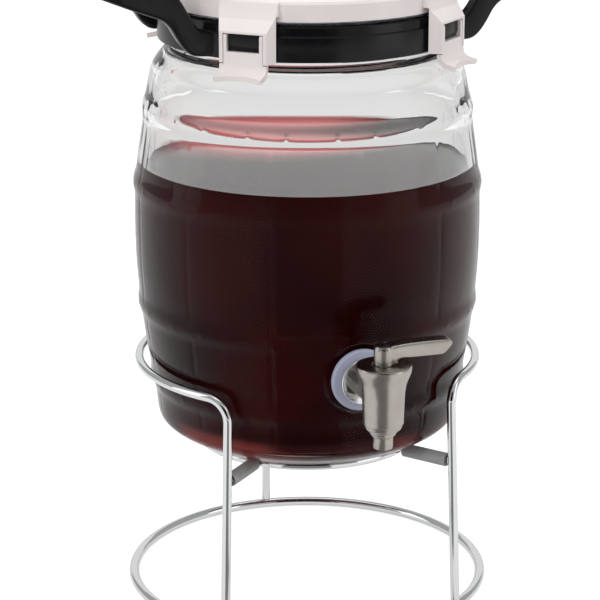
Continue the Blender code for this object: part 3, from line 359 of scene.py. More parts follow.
class Recipe:
    """A node material under construction: a Principled shader with helpers that add and join nodes."""

    def __init__(self, name, colour, roughness, **values):
        self.material = bpy.data.materials.new(name)
        self.material.use_nodes = True
        self.nodes = self.material.node_tree.nodes
        self.links = self.material.node_tree.links
        self.shader = self.nodes["Principled BSDF"]
        self.place = self.nodes.new("ShaderNodeTexCoord").outputs["Object"]
        self.set("Base Color", (*colour, 1.0))
        self.set("Roughness", roughness)
        for key, value in values.items():
            self.set(key.replace("_", " ").title().replace("Ior", "IOR"), value)

    def set(self, socket, value):
        """Gives one socket of the shader a fixed value."""
        self.shader.inputs[socket].default_value = value

    def node(self, kind, values, links):
        """A new node, with fixed values for some of its inputs and links into others."""
        node = self.nodes.new("ShaderNode" + kind)
        for socket, value in values.items():
            node.inputs[socket].default_value = value
        for socket, source in links.items():
            self.links.new(source, node.inputs[socket])
        return node

    def noise(self, scale, detail=3.0, roughness=0.5, stretch=(1, 1, 1)):
        """Noise on object coordinates, stretched along an axis for brushed grain."""
        place = self.node("Mapping", {"Scale": stretch}, {"Vector": self.place}).outputs["Vector"]
        values = {"Scale": scale, "Detail": detail, "Roughness": roughness}
        return self.node("TexNoise", values, {"Vector": place}).outputs["Fac"]

    def ramp(self, value, stops):
        """A colour ramp from (place, colour) stops."""
        ramp = self.node("ValToRGB", {}, {"Fac": value})
        ramp.color_ramp.interpolation = "EASE"
        for element, (place, colour) in zip(ramp.color_ramp.elements, stops):
            element.position = place
            element.color = (*colour, 1.0)
        return ramp.outputs["Color"]

    def span(self, value, low, high):
        """A noise value spread over a range."""
        values = {"From Min": 0.3, "From Max": 0.7, "To Min": low, "To Max": high}
        return self.node("MapRange", values, {"Value": value}).outputs["Result"]

    def fade(self, value, full, none, most=1.0):
        """The most where the value is at full, falling smoothly to 0 at none."""
        fade = self.node("MapRange", {"From Min": none, "From Max": full, "To Max": most}, {"Value": value})
        fade.interpolation_type = "SMOOTHSTEP"
        return fade.outputs["Result"]

    def axis(self, name):
        """The coordinate X, Y or Z."""
        return self.node("SeparateXYZ", {}, {"Vector": self.place}).outputs[name]

    def distance(self, point):
        """The distance from a point."""
        measure = self.node("VectorMath", {1: point}, {0: self.place})
        measure.operation = "DISTANCE"
        return measure.outputs["Value"]

    def product(self, first, second):
        """Two values multiplied."""
        multiply = self.node("Math", {}, {0: first, 1: second})
        multiply.operation = "MULTIPLY"
        return multiply.outputs[0]

    def mix(self, share, first, second):
        """The first colour where the share is 0, the second where it is 1."""
        mix = self.node("Mix", {}, {"Factor": share})
        mix.data_type = "RGBA"
        for socket, colour in (("A", first), ("B", second)):
            target = next(i for i in mix.inputs if i.name == socket and i.type == "RGBA")
            if isinstance(colour, tuple):
                target.default_value = (*colour, 1.0)
            else:
                self.links.new(colour, target)
        return next(o for o in mix.outputs if o.type == "RGBA")

    def join(self, value, socket):
        """Feeds a value into one socket of the shader."""
        self.links.new(value, self.shader.inputs[socket])
        return self

    def bump(self, value, strength, distance):
        """Adds fine relief."""
        bump = self.node("Bump", {"Strength": strength, "Distance": distance}, {"Height": value})
        return self.join(bump.outputs["Normal"], "Normal")


# Heights over which the drink turns lighter and greyer upwards.
GREYER_FULL, GREYER_NONE = JAR_FOOT + 0.14, JAR_FOOT + 0.05
# Heights over which the painted heel glow, light through the thin drink, fades out upwards.
HEEL_GLOW_FULL, HEEL_GLOW_NONE = JAR_FOOT + 0.009, JAR_FOOT + 0.017
GLOW_Y, GLOW_FULL, GLOW_NONE = 0.088, 0.03, 0.095
FILM_ALPHA = 0.75


def chrome_plating():
    """Bright plating with a faint drawn-wire waviness."""
    recipe = Recipe("chrome_plating", (0.86, 0.87, 0.88), 0.06, metallic=1.0)
    recipe.join(recipe.span(recipe.noise(420, 3), 0.04, 0.11), "Roughness")
    return recipe.bump(recipe.noise(160, 2), 0.1, 0.0004).material


def brushed_steel():
    """Warm steel with fine grain round the turned body."""
    recipe = Recipe("brushed_steel", (0.51, 0.475, 0.435), 0.3, metallic=1.0)
    grain = recipe.noise(900, 4, 0.65, (1, 1, 14))
    recipe.join(recipe.span(grain, 0.25, 0.33), "Roughness")
    shades = [(0.3, (0.48, 0.445, 0.405)), (0.7, (0.54, 0.505, 0.465))]
    recipe.join(recipe.ramp(recipe.noise(60, 3), shades), "Base Color")
    return recipe.bump(grain, 0.04, 0.0001).material


def jar_glass():
    """Clear pressed glass with the slow waves of a mould."""
    recipe = Recipe("jar_glass", (0.988, 0.994, 0.99), 0.0, transmission_weight=1.0, ior=1.5)
    recipe.set("Specular Tint", (0.12, 0.12, 0.12, 1.0))
    recipe.set("Specular IOR Level", 0.15)
    return recipe.bump(recipe.noise(38, 1, 0.3), 0.06, 0.004).material


def red_drink(colour):
    """A deep red drink: lighter and greyer in its upper half, and with painted light in its heel, a bright
    red mottle where light would shine through the thin drink.
    """
    recipe = Recipe("red_drink", colour, 0.03, ior=1.34)
    recipe.set("Specular IOR Level", 0.06)
    cloud = recipe.noise(14, 2, 0.4)
    height = recipe.axis("Z")
    full = recipe.ramp(cloud, [(0.35, (0.014, 0.0002, 0.0004)), (0.65, (0.044, 0.001, 0.0014))])
    # lighter, greyer shades that take over in the upper half
    greyer_upper = recipe.ramp(cloud, [(0.3, (0.028, 0.0038, 0.0044)), (0.7, (0.05, 0.0058, 0.0064))])
    deep = recipe.mix(recipe.fade(height, GREYER_FULL, GREYER_NONE), full, greyer_upper)
    # painted light: a bright red mottle low in the heel, in place of light shining through the thin drink
    # there
    heel_glow_stops = [(0.42, (0.05, 0.004, 0.005)), (0.62, (0.34, 0.055, 0.045))]
    bright = recipe.ramp(recipe.noise(26, 2, 0.4), heel_glow_stops)
    thin = recipe.fade(height, HEEL_GLOW_FULL, HEEL_GLOW_NONE)
    return recipe.join(recipe.mix(thin, deep, bright), "Base Color").material


def drink_surface(colour, level):
    """The drink's level top: dark in front, with a painted pink glow, in its colour and as emission, where
    light comes in through the back.
    """
    recipe = Recipe("drink_surface", colour, 0.02, ior=1.34)
    # painted glow: towards the back the level top is mixed to pink and made to emit, in place of light coming
    # in through the drink
    back = recipe.fade(recipe.distance((0.0, STAND_Y + GLOW_Y, level)), GLOW_FULL, GLOW_NONE)
    recipe.join(recipe.mix(back, colour, (0.85, 0.24, 0.24)), "Base Color")
    recipe.join(recipe.mix(back, (0.0, 0.0, 0.0), (0.2, 0.06, 0.06)), "Emission Color")
    recipe.set("Emission Strength", 1.0)
    return recipe.material


def drink_film_painted_glow(level):
    """A thin skin of drink on the glass at the back, painted bright pink for the light that comes in through
    the drink there, fading out upwards and to its sides.
    """
    # painted light: a bright pink, partly see-through, in place of the light shining through the drink at the
    # back
    recipe = Recipe("drink_film_painted_glow", (0.94, 0.48, 0.48), 0.15, ior=1.34)
    upward = recipe.fade(recipe.axis("Z"), level + 0.0002, level + 0.0045, FILM_ALPHA)
    sideways = recipe.fade(recipe.axis("Y"), STAND_Y + 0.082, STAND_Y + 0.04)
    return recipe.join(recipe.product(upward, sideways), "Alpha").material


def black_moulding():
    """Satin black plastic with a fine moulded grain."""
    recipe = Recipe("black_moulding", (0.0045, 0.0045, 0.0055), 0.22)
    recipe.set("Specular IOR Level", 0.3)
    recipe.join(recipe.span(recipe.noise(300, 3), 0.17, 0.27), "Roughness")
    return recipe.bump(recipe.noise(900, 2), 0.03, 0.0001).material


def lid_moulding():
    """Off-white plastic with a faint warm mottle."""
    recipe = Recipe("lid_moulding", (0.83, 0.765, 0.75), 0.34)
    shades = [(0.3, (0.82, 0.755, 0.74)), (0.7, (0.85, 0.785, 0.77))]
    recipe.join(recipe.ramp(recipe.noise(30, 2), shades), "Base Color")
    recipe.join(recipe.span(recipe.noise(500, 3), 0.3, 0.4), "Roughness")
    return recipe.bump(recipe.noise(1800, 3), 0.08, 0.00012).material


def clear_silicone():
    """Milky blue-white silicone."""
    recipe = Recipe("clear_silicone", (0.42, 0.44, 0.56), 0.42, subsurface_weight=0.4)
    recipe.set("Subsurface Radius", (0.004, 0.004, 0.006))
    recipe.set("Subsurface Scale", 0.5)
    recipe.join(recipe.span(recipe.noise(600, 3), 0.36, 0.5), "Roughness")
    return recipe.material


def grey_sleeving():
    """Soft grey plastic tube."""
    recipe = Recipe("grey_sleeving", (0.41, 0.41, 0.41), 0.42)
    shades = [(0.3, (0.37, 0.37, 0.37)), (0.7, (0.45, 0.45, 0.45))]
    recipe.join(recipe.ramp(recipe.noise(120, 3), shades), "Base Color")
    return recipe.bump(recipe.noise(1500, 2), 0.08, 0.0002).material


BARREL_SHARES = (
    (0.000, 0.73), (0.016, 0.805), (0.034, 0.865), (0.048, 0.879), (0.062, 0.885), (0.108, 0.896),
    (0.145, 0.909), (0.24, 0.947), (0.342, 0.976), (0.444, 0.995), (0.553, 1.000), (0.653, 0.993),
    (0.721, 0.975), (0.771, 0.958), (0.845, 0.933), (0.898, 0.914), (0.925, 0.902), (0.95, 0.881),
    (0.979, 0.833), (1.000, 0.79),
)
SOFTENED = 0.0022
HOOP_SHARES = (0.145, 0.342, 0.653, 0.845)
HOOP_HALF_SHARE, HOOP_POWER = 0.56, 2.4
NECK_R, BEAD_R, MOUTH_R = 0.0735, 0.075, 0.067
PAD_R, PAD_FILLET = 0.0175, 0.0035
STAVES = 12
ROW_PITCH, ROW_LEAST, COLUMN_LEAST = 0.0042, 0.00035, 0.0035
SEAM_SHARES, SEAM_FADE = (0.062, 0.81), 0.006
NAIL_DEGREES = (5.0, -8.0)
FINE_DEGREES = (
    -1.3, -0.8, -0.4, 0.0, 0.4, 0.8, 1.3, 4.1, 4.55, 5.0, 5.45, 5.9, -8.9, -8.45, -8.0, -7.55, -7.1,
)
FLOOR_Z, FLOOR_RIM = JAR_FOOT + 0.0085, 0.002
HEEL_LOW, HEEL_HIGH, HEEL_ABOVE = JAR_FOOT + 0.0088, JAR_FOOT + 0.024, JAR_FOOT + 0.028
HEEL_DROP, HEEL_REACH, HEEL_WALL = 0.0155, 0.011, JAR_FOOT + 0.013
FOOT_STEP = 0.0004
# Radius and height of the throat and of the neck's foot over the shoulder, and of the lip over the jar's top.
THROAT_START, THROAT = -0.016, ((0.0765, -0.0065), (0.0695, -0.0012), (MOUTH_R, 0.004))
NECK_FOOT = ((NECK_R, 0.0014), (NECK_R + 0.0004, 0.0005))
LIP = ((MOUTH_R, -0.003), (MOUTH_R, 0.0), (BEAD_R, 0.0), (BEAD_R, -0.0077), (NECK_R, -0.008))
LIP_EDGES = (0, 0.0012, 0.0014, 0.0012, 0.0004, 0)
JAR_UNDERSIDE = (
    (0.066, 0.0), (0.056, 0.0), (0.0553, 0.0004), (0.054, 0.0016), (0.0525, 0.002), (0.04, 0.0021),
    (0.02, 0.0022), (0.0, 0.0022),
)
WETTING = 0.00025
MENISCUS_REACH, MENISCUS_RISE, MENISCUS_END = 0.0045, 0.0016, 0.012
DRINK_TOP = 0.003
FILM_RISE, FILM_HALF_ANGLE = (-0.0005, 0.011), 1.15


def barrel_radius(settings, heights):
    """The smooth outer wall, softened over a few millimetres as fire-polished glass is."""
    spread = np.linspace(-SOFTENED, SOFTENED, 5)
    shares = (heights[..., None] + spread - JAR_FOOT) / settings.barrel
    return settings.belly * curve_through(BARREL_SHARES, np.clip(shares, 0, 1)).mean(axis=-1)


def hoop_lift(settings, heights):
    """1 on a hoop and 0 off it, with rounded shoulders: exp(-|d / half|^power)."""
    lift = np.zeros_like(heights)
    for share in HOOP_SHARES:
        middle = JAR_FOOT + settings.barrel * share
        from_middle = np.abs(heights - middle) / (settings.hoop_band * HOOP_HALF_SHARE)
        lift = np.maximum(lift, np.exp(-(from_middle**HOOP_POWER)))
    return lift


def jar_rows(settings):
    """Heights of the wall's rows, from the shoulder down to the foot, closest on the hoops and the heel."""
    low, high = JAR_FOOT + FOOT_STEP, SHOULDER
    rows = [np.arange(low, high, ROW_PITCH)]
    rows += [np.linspace(low, low + 0.016, 17), np.linspace(high - 0.02, high, 15)]
    for share in HOOP_SHARES:
        middle = JAR_FOOT + settings.barrel * share
        rows.append(middle + settings.hoop_band * np.linspace(-0.85, 0.85, 17))
    rows = np.unique(np.round(np.concatenate(rows), 5))
    keep = np.concatenate([[True], np.diff(rows) > ROW_LEAST])
    return rows[keep][::-1]


def jar_columns():
    """Angles of the columns from the front, closest at the seams, the nail heads and the tap's seat."""
    stave = math.tau / STAVES
    seams = np.arange(STAVES) * stave
    columns = [np.radians(np.arange(0, 360, 2.5)), np.radians(np.arange(-15, 15.1, 0.75))]
    columns += [seams + math.radians(offset) for offset in FINE_DEGREES]
    columns = np.unique(np.round(np.concatenate(columns) % math.tau, 5))
    return columns[np.concatenate([[True], np.diff(columns) > COLUMN_LEAST])]


def outer_wall(settings, columns, heights):
    """The outer wall's points.

    Their radius is the smooth barrel, plus the hoops, minus a groove exp(-(x / w)^2) at each seam between
    hoops, plus nail heads on the hoops, and it meets the tap's flat seat in a soft fillet.
    """
    lift = hoop_lift(settings, heights)
    stave = math.tau / STAVES
    across = ((columns + stave / 2) % stave - stave / 2) * settings.belly
    low, high = (JAR_FOOT + settings.barrel * share for share in SEAM_SHARES)
    fade = smooth_step(heights, low, low + SEAM_FADE) * (1 - smooth_step(heights, high - SEAM_FADE, high))
    groove = np.exp(-((across / settings.seam_width) ** 2)) * fade * (1 - lift)
    wall = barrel_radius(settings, heights) + settings.hoop_rise * lift - settings.seam_depth * groove
    for share in HOOP_SHARES:
        middle = JAR_FOOT + settings.barrel * share
        for offset in NAIL_DEGREES:
            aside = across - math.radians(offset) * settings.belly
            spot = (aside**2 + (heights - middle) ** 2) / settings.nail_radius**2
            wall = wall + settings.nail_rise * np.exp(-(spot**2))
    from_pad = np.hypot(wall * np.sin(columns), heights - TAP_Z)
    in_front = np.cos(columns) > 0.5
    on_pad = np.where(in_front, 1 - smooth_step(from_pad, PAD_R, PAD_R + PAD_FILLET), 0.0)
    seat = np.where(in_front, PAD_FACE / np.maximum(np.cos(columns), 0.5), wall)
    return around_jar(wall * (1 - on_pad) + seat * on_pad, columns, heights)


def inner_wall(settings, top, count):
    """Rows of (radius, height) of the inner wall up to a height, drawn in round an arc over the floor."""
    heights = np.concatenate([np.linspace(HEEL_LOW, HEEL_HIGH, 14), np.linspace(HEEL_ABOVE, top, count)])
    wall = barrel_radius(settings, np.maximum(heights, HEEL_WALL)) - settings.wall
    inset = np.clip((HEEL_HIGH - heights) / HEEL_DROP, 0, 1)
    return np.column_stack([wall - HEEL_REACH * (1 - np.sqrt(1 - inset**2)), heights])


def make_jar_mesh(settings):
    """The jar as one closed skin of rows and columns: floor, inside, throat, lip, neck, wall and foot."""
    columns = jar_columns()[None, :]
    outer = outer_wall(settings, columns, jar_rows(settings)[:, None])
    inside = inner_wall(settings, SHOULDER + THROAT_START, 34)
    floor = np.column_stack([np.linspace(0, inside[0, 0] - FLOOR_RIM, 10), np.full(10, FLOOR_Z)])
    lip = [(radius, JAR_TOP + rise) for radius, rise in LIP]
    neck = [(radius, SHOULDER + rise) for radius, rise in NECK_FOOT]
    throat = [inside[-1]] + [(radius, SHOULDER + rise) for radius, rise in THROAT] + lip[:1]
    throat = fine_path(throat, 0.0012)[1:]
    lip = rounded(lip + neck[:1], LIP_EDGES, 4)[1:]
    top_wall, foot_wall = barrel_radius(settings, np.array([SHOULDER, JAR_FOOT + FOOT_STEP]))
    neck_foot = fine_path(neck + [(top_wall, SHOULDER)], 0.0008)
    profile = np.vstack([floor, inside, throat, lip, neck_foot[:-1]])
    under = np.array(((foot_wall - 2 * FOOT_STEP, 0.0),) + JAR_UNDERSIDE)
    upper = around_jar(profile[:, :1], columns, profile[:, 1:])
    base = around_jar(under[:, :1], columns, JAR_FOOT + under[:, 1:])
    mesh = closed_grid(np.concatenate([upper, outer, base]))
    return smooth(weld(mesh), math.radians(50))


def make_drink_mesh(settings):
    """The drink fills the jar to its level, wets the wall, and rises a little at the glass."""
    level = settings.drink_level
    side = inner_wall(settings, level, 44) + (WETTING, 0)
    reach = side[-1, 0]
    rim = np.linspace(0, 1, 9)[1:]
    meniscus = np.column_stack([reach - MENISCUS_REACH * rim, level - MENISCUS_RISE * rim * (2 - rim)])
    flat = np.column_stack([np.linspace(reach - MENISCUS_END, 0, 8), np.full(8, level - MENISCUS_RISE)])
    floor = np.column_stack([np.linspace(0, side[0, 0] - FLOOR_RIM, 8), np.full(8, FLOOR_Z - WETTING)])
    profile = np.vstack([floor, side, meniscus, flat])[::-1]
    angles = np.arange(180) * math.tau / 180
    points = around_jar(profile[:, :1], angles[None, :], profile[:, 1:])
    return smooth(weld(closed_grid(points)), math.radians(60))


def make_film_mesh(settings):
    """A thin skin of drink on the inner wall, from the level upwards, round the back half."""
    heights = settings.drink_level + np.linspace(*FILM_RISE, 12)
    wall = barrel_radius(settings, heights) - settings.wall
    skin = np.concatenate([wall - WETTING / 5, (wall - WETTING)[::-1]])
    levels = np.concatenate([heights, heights[::-1]])
    angles = math.pi + np.linspace(-FILM_HALF_ANGLE, FILM_HALF_ANGLE, 90)
    points = around_jar(skin[:, None], angles[None, :], levels[:, None])
    return smooth(cap_ends(closed_grid(points, wrap_rows=True, wrap_columns=False)), math.radians(60))


# The base ring's wire is eight-sided in the CAD and lies on a flat, so its centre is under its radius.
FOOT_Z = 0.00275 * math.cos(math.pi / 8)


def wire_foot(stand):
    """The height at which the legs stand on the base ring."""
    return FOOT_Z + stand.base_wire / 2


def leg_radius(stand, heights):
    """The legs lean in evenly from the base ring to the hoop."""
    low = wire_foot(stand)
    share = np.clip((heights - low) / (stand.hoop_height - low), 0, 1)
    return stand.base_radius + (stand.hoop_radius - stand.base_radius) * share


def hoop_path(stand):
    """Up the left leg, over a quarter bend, round the back at one height, and down the right leg."""
    bend_low = stand.hoop_height - stand.bend
    up = np.linspace(wire_foot(stand) + GAP, bend_low, 24)
    turn = np.linspace(0, math.pi / 2, 15)[1:]
    heights = np.concatenate([up, bend_low + stand.bend * np.sin(turn)])
    shifts = np.concatenate([0 * up, stand.bend * (1 - np.cos(turn)) / stand.hoop_radius])
    angles = stand.leg_angle + shifts
    last = angles[-1]
    ring = np.linspace(last, math.tau - last, 140)[1:-1]
    leg = around_jar(leg_radius(stand, heights), angles, heights)
    back = around_jar(stand.hoop_radius, ring, stand.hoop_height)
    return turned(np.vstack([leg, back, leg[::-1] * (-1, 1, 1)]), stand.turn)


def ring_path(radius, height, turn, count=240):
    """A level circle about the jar's axis."""
    return turned(around_jar(radius, np.arange(count) * math.tau / count, height), turn)


def prism(outline, half_width, edge, steps=4):
    """A closed outline of (outward, up) points carried across its width, inset round an arc at both sides."""
    outline = np.asarray(outline, float)
    along = unit(np.roll(outline, -2, axis=0) - np.roll(outline, 2, axis=0))
    area = np.sum(outline[:, 0] * np.roll(outline[:, 1], -1) - np.roll(outline[:, 0], -1) * outline[:, 1])
    inward = np.column_stack([-along[:, 1], along[:, 0]]) * np.sign(area)
    turn = np.linspace(0, math.pi / 2, steps + 1)
    inset = np.concatenate([edge * (1 - np.sin(turn)), edge * (1 - np.sin(turn))[::-1]])
    across = half_width - edge * (1 - np.cos(turn))
    across = np.concatenate([-across, across[::-1]])
    rows = outline[None] + inward[None] * inset[:, None, None]
    points = np.stack([rows[..., 0], across[:, None] + 0 * rows[..., 0], rows[..., 1]], axis=-1)
    return cap_ends(closed_grid(points))


def combine(mesh, others):
    """Joins a mesh with others into one skin."""
    obj = new_object("combined", mesh)
    helpers = [new_object("helper", other) for other in others]
    for helper in helpers:
        modifier = obj.modifiers.new("combine", "BOOLEAN")
        modifier.object, modifier.operation, modifier.solver = helper, "UNION", "EXACT"
    bpy.context.view_layer.update()
    graph = bpy.context.evaluated_depsgraph_get()
    result = bpy.data.meshes.new_from_object(obj.evaluated_get(graph))
    for used in [obj] + helpers:
        bpy.data.objects.remove(used, do_unlink=True)
    return smooth(weld(result, 1e-7))


def soften_node(name, material, width=0.0004):
    """Gives a CAD node its finish, with its edges rounded where a width is given."""
    obj = NODES[name]
    obj.data.materials.clear()
    obj.data.materials.append(material)
    joint = obj.modifiers.new("join", "WELD")
    joint.merge_threshold = 0.00001
    if width:
        edges = obj.modifiers.new("edges", "BEVEL")
        edges.width, edges.segments, edges.limit_method = width, 3, "ANGLE"
        edges.angle_limit = math.radians(35)
        edges.harden_normals = True


TAP_VASE = (
    (0.0138, 0.0), (0.0144, 0.0003), (0.0146, 0.001), (0.0146, 0.0022), (0.0143, 0.004), (0.0134, 0.0064),
    (0.0122, 0.0095), (0.0113, 0.0147), (0.01105, 0.02), (0.0107, 0.029), (0.01065, 0.0318),
)
TAP_CHIN = (
    (0.01, 0.0328), (0.0095, 0.0345), (0.0081, 0.0357), (0.0074, 0.0364), (0.0067, 0.0378),
    (0.0056, 0.0391),
)
TAP_SPOUT = ((0.0052, 0.0396), (0.0052, 0.045), (0.005, 0.0455), (0.0046, 0.0457))
TAP_BORE = (
    (0.0032, 0.0457), (0.0032, 0.0295), (0.0052, 0.0295), (0.0052, 0.0016), (0.0061, 0.0016),
    (0.0061, 0.0003), (0.0064, 0.0),
)
BOSS_R, BOSS_BORE, BOSS_EDGE, BOSS_DEPTH = 0.0079, 0.0061, 0.0006, 0.0052


def tap_body_mesh():
    """The body as one turned section of (radius, drop below its top), joined to the boss on the shank.

    The vase and the chin below it are two smooth curves that meet in a crease.
    """
    section = np.vstack([fine_path(TAP_VASE, 0.0006), fine_path(TAP_CHIN, 0.0005), TAP_SPOUT, TAP_BORE])
    section[:, 1] = TAP_TOP - section[:, 1]
    boss = [
        (BOSS_R, STAND_Y - TAP_AXIS - BOSS_DEPTH), (BOSS_R, BOSS_FACE + BOSS_EDGE),
        (BOSS_R - BOSS_EDGE, BOSS_FACE), (BOSS_BORE, BOSS_FACE),
    ]
    body = spin(section, 96, (0, TAP_AXIS, 0), ring=True)
    return combine(body, [cap_ends(spin(boss, 64, (0, STAND_Y, TAP_Z), forward=True))])


LEVER_TOP = (
    (0.0012, 0.0101), (0.0045, 0.0107), (0.011, 0.0113), (0.019, 0.0115), (0.029, 0.0115),
    (0.034, 0.0112), (0.0359, 0.0105), (0.0364, 0.0095),
)
LEVER_UNDER = (
    (0.0358, 0.008), (0.0322, 0.0044), (0.0306, 0.0038), (0.022, 0.0037), (0.011, 0.0037),
    (0.0078, 0.0035), (0.006, 0.0026), (0.0054, 0.0012),
)
LEVER_POST = (
    (0.0, 0.0106), (0.0034, 0.0105), (0.0046, 0.0101), (0.0052, 0.0092), (0.0053, 0.008),
    (0.0053, -0.0013), (0.0033, -0.0013), (0.0033, 0.0053), (0.0, 0.0053),
)
LEVER_HEEL, LEVER_HALF_WIDTH, LEVER_EDGE = (0.0014, 0.0012), 0.0047, 0.0012


def lever_mesh():
    """The lever: an arched paddle that grows out of a round post; heights are over the body's top."""
    outline = np.vstack([fine_path(LEVER_TOP, 0.0008), fine_path(LEVER_UNDER, 0.0007), [LEVER_HEEL]])
    outline[:, 1] += TAP_TOP
    paddle = prism(outline[::-1], LEVER_HALF_WIDTH, LEVER_EDGE)
    paddle.transform(Matrix.Translation((0, TAP_AXIS, 0)))
    post = np.array(LEVER_POST)
    post[:, 1] += TAP_TOP
    return combine(paddle, [spin(post, 64, (0, TAP_AXIS, 0))])


WASHER_R, WASHER_DEPTH, FLANGE_R, FLANGE_DEPTH = 0.017, 0.0035, 0.0125, 0.0025
BORE_R, BORE_EDGE = 0.0063, 0.0002


def ring_profile(inner, outer, low, high, edge):
    """A washer's closed section of (radius, height), rounded at its outer corners."""
    corners = [(inner, low), (inner, high), (outer, high), (outer, low)]
    return rounded(corners, (BORE_EDGE, BORE_EDGE, edge, edge))


COLLAR_ROWS = (
    (0.0753, 0.0185), (0.0805, 0.0185), (0.0805, 0.0135), (0.082, 0.0135), (0.082, 0.0), (0.0738, 0.0),
    (0.0738, 0.011), (0.0753, 0.0118),
)
COLLAR_EDGES = (0.0002, 0.0008, 0.0003, 0.0007, 0.001, 0.0003, 0.0002, 0.0002)
LUG_ROWS = ((0.0772, 0.006), (0.0857, 0.006), (0.087, 0.0088), (0.087, 0.015), (0.0772, 0.015))
LUG_EDGES, LUG_HALF_WIDTH, LUG_EDGE = (0, 0.0004, 0.0005, 0.0006, 0), 0.0087, 0.0004
LUG_DEGREES = (-41, 41, -139, 139)
EAR_UNDER = (
    (0.062, 0.0004), (0.074, 0.0006), (0.079, 0.0016), (0.083, 0.005), (0.087, 0.0108), (0.09, 0.016),
    (0.094, 0.02), (0.099, 0.0222), (0.105, 0.0244), (0.113, 0.0275), (0.128, 0.034), (0.138, 0.038),
    (0.143, 0.039),
)
EAR_UPPER = (
    (0.062, 0.0128), (0.07, 0.0132), (0.0745, 0.015), (0.078, 0.0192), (0.081, 0.0245), (0.0845, 0.0305),
    (0.089, 0.036), (0.096, 0.04), (0.105, 0.043), (0.115, 0.0456), (0.128, 0.0484), (0.138, 0.05),
    (0.143, 0.0504),
)
EAR_START, EAR_END, EAR_SPREAD, EAR_TURN = 0.0655, 0.1415, 0.0415, 0.026
EAR_HALF_WIDTH, EAR_EDGE = 0.0047, 0.0022
COLLAR_TURN = math.radians(0.9)


def ear_mesh(foot, turn):
    """A loop handle: out along one arm, round the grip and back, between an under and an upper curve.

    Its section at a station is a rectangle whose corners are arcs, upright and square to the plan path.
    """
    reach = np.arange(EAR_START, EAR_END - EAR_TURN, 0.0012)
    arm = np.column_stack([reach, np.full(len(reach), -EAR_SPREAD)])
    angles = np.linspace(-math.pi / 2, 0, 25)
    bend = EAR_TURN * np.column_stack([np.cos(angles), np.sin(angles)])
    half = np.vstack([arm, bend + (EAR_END - EAR_TURN, EAR_TURN - EAR_SPREAD)])
    plan = np.vstack([half, half[::-1] * (1, -1)])
    ahead = unit(np.gradient(plan, axis=0))
    outward = np.column_stack([ahead[:, 1], -ahead[:, 0]])
    low, high = curve_through(EAR_UNDER, plan[:, 0]), curve_through(EAR_UPPER, plan[:, 0])
    arc = np.linspace(0, math.pi / 2, 6)
    quarter = np.column_stack([np.cos(arc), np.sin(arc)])
    corners = np.concatenate([quarter, quarter[::-1] * (-1, 1), -quarter, quarter[::-1] * (1, -1)])
    right, top = np.repeat([1, -1, -1, 1], 6), np.repeat([1, 1, -1, -1], 6)
    across = right * (EAR_HALF_WIDTH - EAR_EDGE) + EAR_EDGE * corners[:, 0]
    height = foot + ((low + high) / 2)[:, None] + top * ((high - low)[:, None] / 2 - EAR_EDGE)
    flat = plan[:, None, :] + outward[:, None, :] * across[None, :, None]
    points = np.concatenate([flat, (height + EAR_EDGE * corners[:, 1])[..., None]], axis=-1)
    mesh = cap_ends(closed_grid(points))
    mesh.transform(Matrix.Rotation(turn, 4, "Z"))
    return mesh


def collar_mesh():
    """The stepped ring with its four lugs and two ears, as one moulding."""
    foot = float(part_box("handle_collar")[0][2])
    parts = []
    for angle in LUG_DEGREES:
        lug = prism(rounded(LUG_ROWS, LUG_EDGES, 3), LUG_HALF_WIDTH, LUG_EDGE, 3)
        lug.transform(Matrix.Rotation(math.radians(angle) - math.pi / 2, 4, "Z"))
        lug.transform(Matrix.Translation((0, 0, foot)))
        parts.append(lug)
    parts += [ear_mesh(foot, 0), ear_mesh(foot, math.pi)]
    ring = rounded(COLLAR_ROWS, COLLAR_EDGES, 4)[::-1] + (0, foot)
    body = combine(spin(ring, 240, ring=True), parts)
    body.transform(Matrix.Rotation(COLLAR_TURN, 4, "Z"))
    body.transform(Matrix.Translation((0, STAND_Y, 0)))
    return body


def light_plane(name, size, location, target, power):
    """A square lamp that faces a point, and that metal and glass don't show."""
    data = bpy.data.lights.new(name, "AREA")
    data.size, data.energy = size, power
    lamp = new_object(name, data)
    lamp.location = location
    lamp.visible_glossy = lamp.visible_transmission = False
    direction = Vector(target) - Vector(location)
    lamp.rotation_euler = direction.to_track_quat("-Z", "Y").to_euler()


def stage_surface(name, corners, material):
    """One flat face of the stage."""
    mesh = bpy.data.meshes.new(name)
    mesh.from_pydata(corners, [], [tuple(range(len(corners)))])
    mesh.materials.append(material)
    obj = new_object(name, mesh)
    return obj


def by_ray(tree, levels, base=0.0):
    """A strength that is base, or the level named for the kind of ray that looks."""
    path = tree.nodes.new("ShaderNodeLightPath")
    strength = base
    for ray, level in levels:
        mix = tree.nodes.new("ShaderNodeMix")
        mix.inputs["B"].default_value = level
        if isinstance(strength, float):
            mix.inputs["A"].default_value = strength
        else:
            tree.links.new(strength, mix.inputs["A"])
        tree.links.new(path.outputs[ray], mix.inputs["Factor"])
        strength = mix.outputs["Result"]
    return strength


def glowing(name, levels, base=0.0):
    """A matt surface of a grey base that adds an even white where the camera, metal or glass sees it."""
    material = bpy.data.materials.new(name)
    material.use_nodes = True
    tree = material.node_tree
    shader = tree.nodes["Principled BSDF"]
    shader.inputs["Base Color"].default_value = (base, base, base, 1.0)
    shader.inputs["Roughness"].default_value = 1.0
    shader.inputs["Specular IOR Level"].default_value = 0.0
    shader.inputs["Emission Color"].default_value = (1.0, 1.0, 1.0, 1.0)
    tree.links.new(by_ray(tree, levels), shader.inputs["Emission Strength"])
    return material


